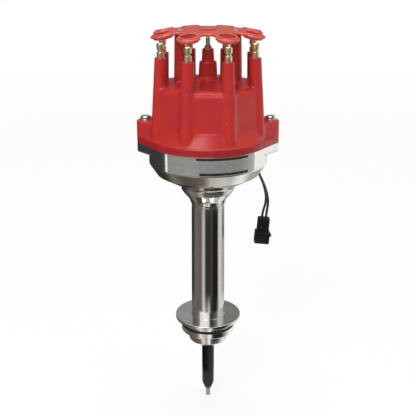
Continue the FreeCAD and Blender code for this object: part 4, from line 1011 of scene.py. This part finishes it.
bpy.context.scene.view_settings.view_transform = "Standard"
build_camera()
build_world()
build_floor()
build_surround()
build_lamp("key_lamp", (-0.5, -1.15, 1.3), (0, 0, 0.15), 0.9, 19)
build_lamp("fill_lamp", (1.1, -0.7, 0.8), (0, 0, 0.15), 0.7, 2)
build_lamp("top_lamp", (0.0, 0.2, 1.5), (0, 0, 0.2), 0.8, 11)


# Lead: the two wires

CONNECTOR_TILT = math.radians(4.65)
WIRE_R = 1.1
WIRES_APART_AT_BOWL = 2.7
WIRES_APART_AT_PLUG = 3.7


def grommet_place():
    """The place on the bowl's chamfer where the lead leaves, and the way out."""
    way = Vector((math.cos(LEAD_ANGLE), math.sin(LEAD_ANGLE), 0))
    middle = way * (BOWL_RING_R + BOWL_R) / 2 + UP * (BOWL_RING_Z + BOWL_SIDE_Z) / 2
    wide, tall = BOWL_R - BOWL_RING_R, BOWL_SIDE_Z - BOWL_RING_Z
    return middle, (way * tall - UP * wide).normalized()


CONNECTOR_TOP = grommet_place()[0] + Vector((11.9, 2.6, -57.25))

# Places that each wire hangs through, from the grommet's middle
LEFT_DROPS = [(6.0, 1.6, -14.15), (10.5, 1.5, -24.25), (13.1, 1.6, -33.65), (13.3, 1.9, -42.65)]
RIGHT_DROPS = [(5.8, 4.0, -14.15), (10.8, 3.9, -24.15), (14.1, 3.6, -33.45), (15.7, 3.3, -42.55)]


def connector_point(across, up, deep=0.0):
    """A point of the connector, from the middle of its top face."""
    c, s = math.cos(CONNECTOR_TILT), math.sin(CONNECTOR_TILT)
    return CONNECTOR_TOP + Vector((across * c + up * s, deep, -across * s + up * c))


def lead_route(side, drops):
    """A wire's points, from inside the bowl through the grommet and down into the connector."""
    inside, outside, over_plug, in_plug = 6.5, 4.5, 5.0, -3.0
    middle, out = grommet_place()
    along_bowl = Vector((-math.sin(LEAD_ANGLE), math.cos(LEAD_ANGLE), 0))
    start = middle + along_bowl * side * WIRES_APART_AT_BOWL / 2
    route = [start - out * inside, start + out * outside]
    route += [middle + Vector(drop) for drop in drops]
    route += [connector_point(side * WIRES_APART_AT_PLUG / 2, up) for up in (over_plug, in_plug)]
    return [tuple(p) for p in route]


def build_wire(name, route, node):
    """One wire of the lead, on a smooth line through its route."""
    curve = bpy.data.curves.new(name, "CURVE")
    curve.dimensions = "3D"
    spline = curve.splines.new("NURBS")
    spline.points.add(len(route) - 1)
    for point, place in zip(spline.points, route):
        point.co = (place[0] * MM, place[1] * MM, place[2] * MM, 1.0)
    spline.order_u = 3
    spline.use_endpoint_u = True
    spline.resolution_u = 12
    curve.bevel_depth = WIRE_R * MM
    curve.bevel_resolution = 5
    curve.use_fill_caps = True
    curve.materials.append(FINISHES["wire_jacket"])
    wire = put_in_scene(name, curve)
    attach(wire, "housing")
    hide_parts(node)
    return wire


left_route = lead_route(-1, LEFT_DROPS)
right_route = lead_route(1, RIGHT_DROPS)
left_wire = build_wire("lead_wire_left", left_route, "pickup_wire_left")
right_wire = build_wire("lead_wire_right", right_route, "pickup_wire_right")


# Housing

def housing_outside():
    """The (radius, z) line from the pilot's foot up to the bowl's side."""
    pilot_r, step_r, groove_r, flange_r, tube_r, neck_r, collar_r = 17.1, 24.0, 21.6, 29.2, 14.2, 13.7, 22.8
    step_z, groove_low, groove_high, flare_h, side_top = -12.0, -6.8, -4.2, 14.2, 150.0
    line = [
        (14.0, PILOT_BOTTOM), (16.1, PILOT_BOTTOM, 0.2), (pilot_r, PILOT_BOTTOM + 1.0, 0.3),
        (pilot_r, step_z, 0.2), (23.4, step_z, 0.15), (step_r, step_z + 0.6, 0.15),
        (step_r, groove_low, 0.12), (groove_r, groove_low, 0.2), (groove_r, groove_high, 0.2),
        (step_r, groove_high, 0.12), (step_r, 0.0, 0.3), (flange_r, 0.0, 0.35),
        (flange_r, FLANGE_TOP, 0.45), (14.75, FLANGE_TOP, 0.3), (tube_r, TUBE_TOP, 0.1),
        (neck_r, TUBE_TOP + 0.4, 0.1), (neck_r, TUBE_TOP + 2.0, 0.1), (14.9, TUBE_TOP + 2.2, 0.2),
        (16.1, TUBE_TOP + flare_h * 0.42, 6.0), (21.6, COLLAR_Z - 1.6, 0.2), (21.2, COLLAR_Z - 1.4, 0.1),
        (21.2, COLLAR_Z, 0.2), (collar_r, COLLAR_Z, 0.4), (collar_r, COLLAR_Z + 4.0, 2.0),
        (BOWL_RING_R, BOWL_RING_Z, 0.5), (BOWL_R, BOWL_SIDE_Z, 0.6), (BOWL_R, side_top),
    ]
    return supported(rounded(line, steps=5, closed=False), closed=False)


def housing_inside():
    """The (radius, z) line from the rim down the bowl and the bore to the pilot's foot."""
    bowl_r, recess_r, recess_z, bore_r, shaft_bore_r, bushing_top = 46.5, 14.0, 130.6, 9.0, 8.03, 9.8
    line = [
        (bowl_r, RIM_Z - 0.3), (bowl_r, BOWL_SIDE_Z + 2.1, 1.0), (41.5, FLOOR_Z, 1.0), (recess_r, FLOOR_Z),
        (recess_r, recess_z), (bore_r, recess_z), (bore_r, bushing_top), (shaft_bore_r, bushing_top),
        (shaft_bore_r, PILOT_BOTTOM + 0.4), (8.4, PILOT_BOTTOM),
    ]
    return rounded(line, steps=3, closed=False)


def housing_rings(turns):
    """Rings of the housing from the pilot's foot up the outside, over the rim and down the bore."""
    angles = even_angles(turns)
    ear = [ear_reach(47.5, a) for a in angles]
    ledge = RIM_Z - 7.5

    def circle(r, z):
        return [polar(r, a, z) for a in angles]

    def eared(inset, z):
        return [polar(max(BOWL_R, e - inset), a, z) for e, a in zip(ear, angles)]

    def rim(inset, z):
        return [polar(max(BOWL_R - inset, e - inset), a, z) for e, a in zip(ear, angles)]

    rings = [circle(r, z) for r, z in housing_outside()]
    rings += [circle(BOWL_R, ledge), eared(0.4, ledge), eared(0.1, ledge + 0.1), eared(0.0, ledge + 0.4)]
    rings += [rim(0.0, RIM_Z - 0.4), rim(0.12, RIM_Z - 0.12), rim(0.4, RIM_Z), circle(46.8, RIM_Z)]
    return rings + [circle(r, z) for r, z in housing_inside()]


def build_housing():
    ear_thread_r, ear_thread_depth, lead_hole_r, grommet_seat_r, grommet_seat_depth = 2.03, 9.0, 3.3, 5.1, 0.7
    skin = stacked(housing_rings(240), loop=True)
    housing = add_piece("billet_housing", skin, "housing", "polished_aluminium", ["housing"], 28.0)
    middle, out = grommet_place()
    bottom = RIM_Z - ear_thread_depth
    threads = [rod_mesh(ear_thread_r, (side * CAP_SCREW_X, 0, bottom), UP, 12) for side in (-1, 1)]
    lead_hole = rod_mesh(lead_hole_r, middle - out * 6, out, 9)
    grommet_seat = rod_mesh(grommet_seat_r, middle - out * grommet_seat_depth, out, 6)
    cut_with(housing, threads + [lead_hole, grommet_seat], 28.0)


build_housing()


def label_patch(name, turn, heights, radii, finish, slot):
    """A thin sheet bent round the bowl, between two bearings in degrees from the front."""
    first, last = (math.radians(a - 90.0) for a in turn)
    (low, high), (inner, outer), inset, steps = heights, radii, 0.06, 90
    edge = [(inner, low), (outer, low + inset), (outer, high - inset), (inner, high)]
    angles = [first + (last - first) * i / steps for i in range(steps + 1)]
    sheet = stacked([[polar(r, a, z) for r, z in edge] for a in angles], ends=True)
    add_piece(name, sheet, "housing", slot, sharp=30.0, finish=finish)


def build_label():
    """A bare foil label with a dark line along its head and foot and a bright bar at its left end."""
    low, high = BOWL_SIDE_Z + 0.9, RIM_Z - 0.6
    on_bowl = (BOWL_R - 0.02, BOWL_R + 0.22)
    on_foil = (BOWL_R + 0.1, BOWL_R + 0.27)
    foil = metal("label foil", "b2b2ae", "9c9c98", 0.24, rings=2.0, ring_depth=0.1, tone=0.4, metallic=0.6)
    ink = moulding("label line ink", "232325", "18181a", 0.4)
    bright = moulding("label bar ink", "e9e8e6", "dddcda", 0.3)
    label_patch("label_plate", (-43.3, 48.5), (low, high), on_bowl, foil, "polished_aluminium")
    label_patch("label_foot_line", (-8.0, 39.6), (low + 0.5, low + 2.6), on_foil, ink, "rubber")
    label_patch("label_head_line", (-11.0, 39.6), (high - 2.4, high - 0.4), on_foil, ink, "rubber")
    label_patch("label_end_bar", (-43.1, -40.5), (low + 0.2, high - 0.2), on_foil, bright, "nylon")


build_label()


# Seal, shaft, terminals and screws

def build_o_ring():
    middle_z, ring_r, section_r = -5.5, 22.8, 1.2
    line = [(ring_r + section_r * math.cos(a), middle_z + section_r * math.sin(a)) for a in even_angles(16)]
    add_piece("o_ring", turned_mesh(line, 120), "housing", "rubber", ["pilot_o_ring"])


def build_shaft():
    """The shaft with its waist, bearing seat and collar, and a tongue at its foot."""
    drive_r, shaft_r, seat_r, groove_r, collar_r = 5.3, 5.55, 6.0, 5.4, 8.0
    timer_r, nose_r, clip_r, flank_r = 4.75, 4.15, 3.35, 9.0
    tip, tongue_z, taper_z, waist_z, seat_z = -81.6, -74.4, -68.6, PILOT_BOTTOM + 1.5, 125.6
    ring_z, collar_z, timer_z, nose_z, clip_z, top = 129.4, 138.6, 140.2, 162.6, 166.6, 168.4
    ring_w, clip_w, half_tongue, reach = 1.2, 0.8, 1.95, 8.0
    journal = [
        (0, tip), (drive_r, tip, 0.3), (drive_r, taper_z, 0.1), (shaft_r, taper_z, 0.08),
        (shaft_r, PILOT_BOTTOM, 0.1), (drive_r, PILOT_BOTTOM, 0.1), (drive_r, waist_z, 0.1),
        (shaft_r, waist_z, 0.1), (shaft_r, seat_z - 1.0, 0.2), (seat_r, seat_z), (seat_r, ring_z),
        (groove_r, ring_z), (groove_r, ring_z + ring_w), (seat_r, ring_z + ring_w), (seat_r, collar_z),
        (collar_r, collar_z, 0.2), (collar_r, timer_z, 0.2), (timer_r, timer_z), (timer_r, nose_z),
        (nose_r, nose_z), (nose_r, clip_z), (clip_r, clip_z), (clip_r, clip_z + clip_w),
        (nose_r, clip_z + clip_w), (nose_r, top, 0.3), (0, top),
    ]
    shaft = add_piece("drive_shaft", turned_mesh(journal, 72), "shaft", "black_oxide_steel", ["main_shaft"])
    flank = [(half_tongue, tip - 1), (half_tongue, tongue_z), (drive_r, taper_z)]
    flank += [(flank_r, taper_z), (flank_r, tip - 1)]
    flanks = []
    for side in (-1, 1):
        flanks.append(stacked([[(side * a, y, b) for a, b in flank] for y in (-reach, reach)], ends=True))
    cut_with(shaft, flanks, 25.0)


def build_terminals():
    """Eight brass posts with their shanks and electrodes, each on its own node. A post has a collar, a snap
    groove and a rounded head."""
    z0, post_r, groove_r = TOWER_TOP, 3.15, 2.3
    profile = [
        (0, z0), (post_r, z0, 0.1), (post_r, z0 + 4.2, 0.5), (groove_r, z0 + 4.7, 0.2),
        (groove_r, z0 + 5.9, 0.2), (post_r, z0 + 6.4, 0.5), (post_r, z0 + 11.3, 1.2), (0, z0 + 11.3),
    ]
    shank = [(0, SHANK_BOTTOM), (SHANK_R, SHANK_BOTTOM, 0.2), (SHANK_R, z0), (0, z0)]
    across, tall = (-ELECTRODE_HALF_W, ELECTRODE_HALF_W), (ELECTRODE_LOW, ELECTRODE_HIGH)
    for k, a in enumerate(TOWER_ANGLES):
        place = polar(TOWER_RING, a, 0)[:2]
        head = turned_mesh(profile, 40, place, 5)
        root = turned_mesh(shank, 24, place, 2)
        electrode = box_mesh((ELECTRODE_R, TOWER_RING - 0.05), across, tall, a)
        post = merged([head, root, electrode])
        add_piece(f"lead_post_{k + 1}", post, "housing", "brass", [f"plug_terminal_{k + 1}"])


def build_coil_terminal():
    z0, collar_r, pin_r, groove_r, foot = COIL_TOWER_TOP, 3.2, 1.85, 1.35, 198.8
    profile = [
        (0, foot), (SHANK_R, foot, 0.2), (SHANK_R, z0), (collar_r, z0, 0.1), (collar_r, z0 + 0.8, 0.3),
        (pin_r, z0 + 3.0, 1.0), (pin_r, z0 + 8.8, 0.2), (groove_r, z0 + 9.2, 0.15),
        (groove_r, z0 + 9.8, 0.15), (pin_r, z0 + 10.2, 0.2), (pin_r, z0 + 12.0, 0.8), (0, z0 + 12.0),
    ]
    add_piece("coil_lead_post", turned_mesh(profile, 40), "housing", "zinc_steel", ["coil_terminal"])


def pan_screw(shank_r, length, head_r, head_h, seat_z, place, turn):
    """A pan-head screw, and the box that cuts its slot."""
    foot, top = seat_z - length, seat_z + head_h
    half_slot, slot_bottom = head_r * 0.13, seat_z + head_h * 0.55
    profile = [
        (0, foot), (shank_r * 0.7, foot), (shank_r, foot + shank_r * 0.3), (shank_r, seat_z),
        (head_r, seat_z, 0.15), (head_r, top, head_h * 0.5), (0, top),
    ]
    slot = box_mesh((-head_r - 1, head_r + 1), (-half_slot, half_slot), (slot_bottom, top + 1), turn, place)
    return turned_mesh(profile, 40, place, 5), slot


def build_screws(name, node, sizes, ring, turns):
    """Two like screws on either side as one piece, since they share a node."""
    places = [(-ring, 0), (ring, 0)]
    screws, slots = zip(*[pan_screw(*sizes, place, turn) for place, turn in zip(places, turns)])
    pair = add_piece(name, merged(screws), "housing", "zinc_steel", [node], 30.0)
    cut_with(pair, slots, 30.0)


def build_washers():
    low, high, outer = CAP_EAR_TOP, CAP_EAR_TOP + WASHER_T, 5.0
    ring = [(CAP_SCREW_HOLE_R, low), (outer, low, 0.1), (outer, high, 0.25), (CAP_SCREW_HOLE_R, high)]
    pair = merged([turned_mesh(ring, 48, (side * CAP_SCREW_X, 0), 3) for side in (-1, 1)])
    add_piece("ear_washers", pair, "housing", "zinc_steel", ["cap_washers"], 30.0)


build_o_ring()
build_shaft()
build_terminals()
build_coil_terminal()
build_washers()
ear_seat = CAP_EAR_TOP + WASHER_T
post_seat = RETAINER_TOP - POST_SEAT_DEPTH
ear_sizes = (2.0, ear_seat - RIM_Z + 6.5, 4.2, 2.6, ear_seat)
post_sizes = (1.75, 13.9, 3.2, 1.6, post_seat)
build_screws("ear_screws", "cap_screws", ear_sizes, CAP_SCREW_X, (0.5, 1.9))
build_screws("post_screws", "retainer_screws", post_sizes, POST_X, (0.9, 2.4))


# Cap and wire retainer

cap_corners = (-61.2, -52.2, 159.6), (61.2, 52.2, 252.6)
retainer_corners = (-49.8, -49.8, 249.6), (49.8, 49.8, 257.4)
moulded_piece("tower_cap", cap_distance, *cap_corners, 0.6, "red_cap", ["distributor_cap"])
moulded_piece("lead_retainer", retainer_distance, *retainer_corners, 0.5, "red_retainer", ["wire_retainer"])


# Advance springs, which stretch between their posts on the timer and the weights' pins

SPRING_POST = (-9.0, -22.0)
WEIGHT_TAIL = (17.0, -14.0)
SPRING_R = 1.8
SPRING_WIRE_R = 0.4
SPRING_EYE_LEN = 3.2
POST_EYE_R = 1.2
PIN_EYE_R = 1.4


def swept_wire(path, radius, closed=False):
    """A round wire along a path of points."""
    count, turns = len(path), even_angles(8)
    side, rings = None, []
    for i, here in enumerate(path):
        back = path[i - 1] if closed or i else here
        ahead = path[(i + 1) % count] if closed or i < count - 1 else here
        way = (ahead - back).normalized()
        side = way.orthogonal() if side is None else side - way * side.dot(way)
        side.normalize()
        other = way.cross(side)
        rings.append([tuple(here + (side * math.cos(a) + other * math.sin(a)) * radius) for a in turns])
    return stacked(rings, ends=not closed, loop=closed)


def spring_line(start, end):
    """The middle of the spring's wire: a leg from each eye and the close turns between them."""
    turns, steps, leg_step, rise = 24, 14, 0.3, 1.6
    along = (end - start).normalized()
    across = along.cross(UP)
    coils_len = (end - start).length - 2 * SPRING_EYE_LEN
    path = [start + along * (POST_EYE_R + leg_step * k) for k in range(6)]
    for i in range(turns * steps + 1):
        share = i / (turns * steps)
        reach = (SPRING_R - SPRING_WIRE_R) * min(1.0, rise * i / steps, rise * (turns - i / steps))
        swing = across * math.cos(TAU * i / steps) + UP * math.sin(TAU * i / steps)
        path.append(start + along * (SPRING_EYE_LEN + coils_len * share) + swing * reach)
    return path + [end - along * (PIN_EYE_R + leg_step * k) for k in reversed(range(5))]


def build_spring(node, side):
    """A coil with an eye at each end, bent between the timer's post and the weight's pin."""
    corners = [Vector(corner) for corner in frame["nodes"][node].bound_box]
    z = (min(c.z for c in corners) + max(c.z for c in corners)) / 2 / MM
    start = Vector((side * SPRING_POST[0], side * SPRING_POST[1], z))
    end = Vector((side * WEIGHT_TAIL[0], side * WEIGHT_TAIL[1], z))
    wires = [swept_wire(spring_line(start, end), SPRING_WIRE_R)]
    for middle, eye_r in ((start, POST_EYE_R), (end, PIN_EYE_R)):
        eye = [middle + Vector(polar(eye_r, a, 0)) for a in even_angles(20)]
        wires.append(swept_wire(eye, SPRING_WIRE_R, closed=True))
    spring = add_piece(f"{node}_coil", merged(wires), None, "zinc_steel", [node], 60.0)
    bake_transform(spring)


build_spring("advance_spring_a", 1)
build_spring("advance_spring_b", -1)


# Connector

def rounded_box(half_w, half_d, levels):
    """A box of the connector with rounded corners: levels are (inset, height)."""
    edge, rings = 1.2, []
    for inset, up in levels:
        w, d = half_w - inset, half_d - inset
        plan = rounded([(-w, -d, edge), (w, -d, edge), (w, d, edge), (-w, d, edge)], 5)
        rings.append([tuple(connector_point(a, up, b)) for a, b in plan])
    return stacked(rings, ends=True)


def build_connector():
    """The connector's slimmer upper part and wider lower part, each with softened rims."""
    top, shoulder, bottom = 0.0, -13.2, -24.2
    upper = [(0.0, shoulder - 0.5), (0.0, top - 0.7), (0.2, top - 0.2), (0.7, top)]
    lower = [(0.7, bottom), (0.2, bottom + 0.2), (0.0, bottom + 0.7), (0.0, shoulder - 0.3), (0.3, shoulder)]
    body = merged([rounded_box(5.4, 4.2, upper), rounded_box(6.8, 5.4, lower)])
    return add_piece("lead_connector", body, "housing", "connector_plastic", ["connector_body"], 30.0)


connector = build_connector()
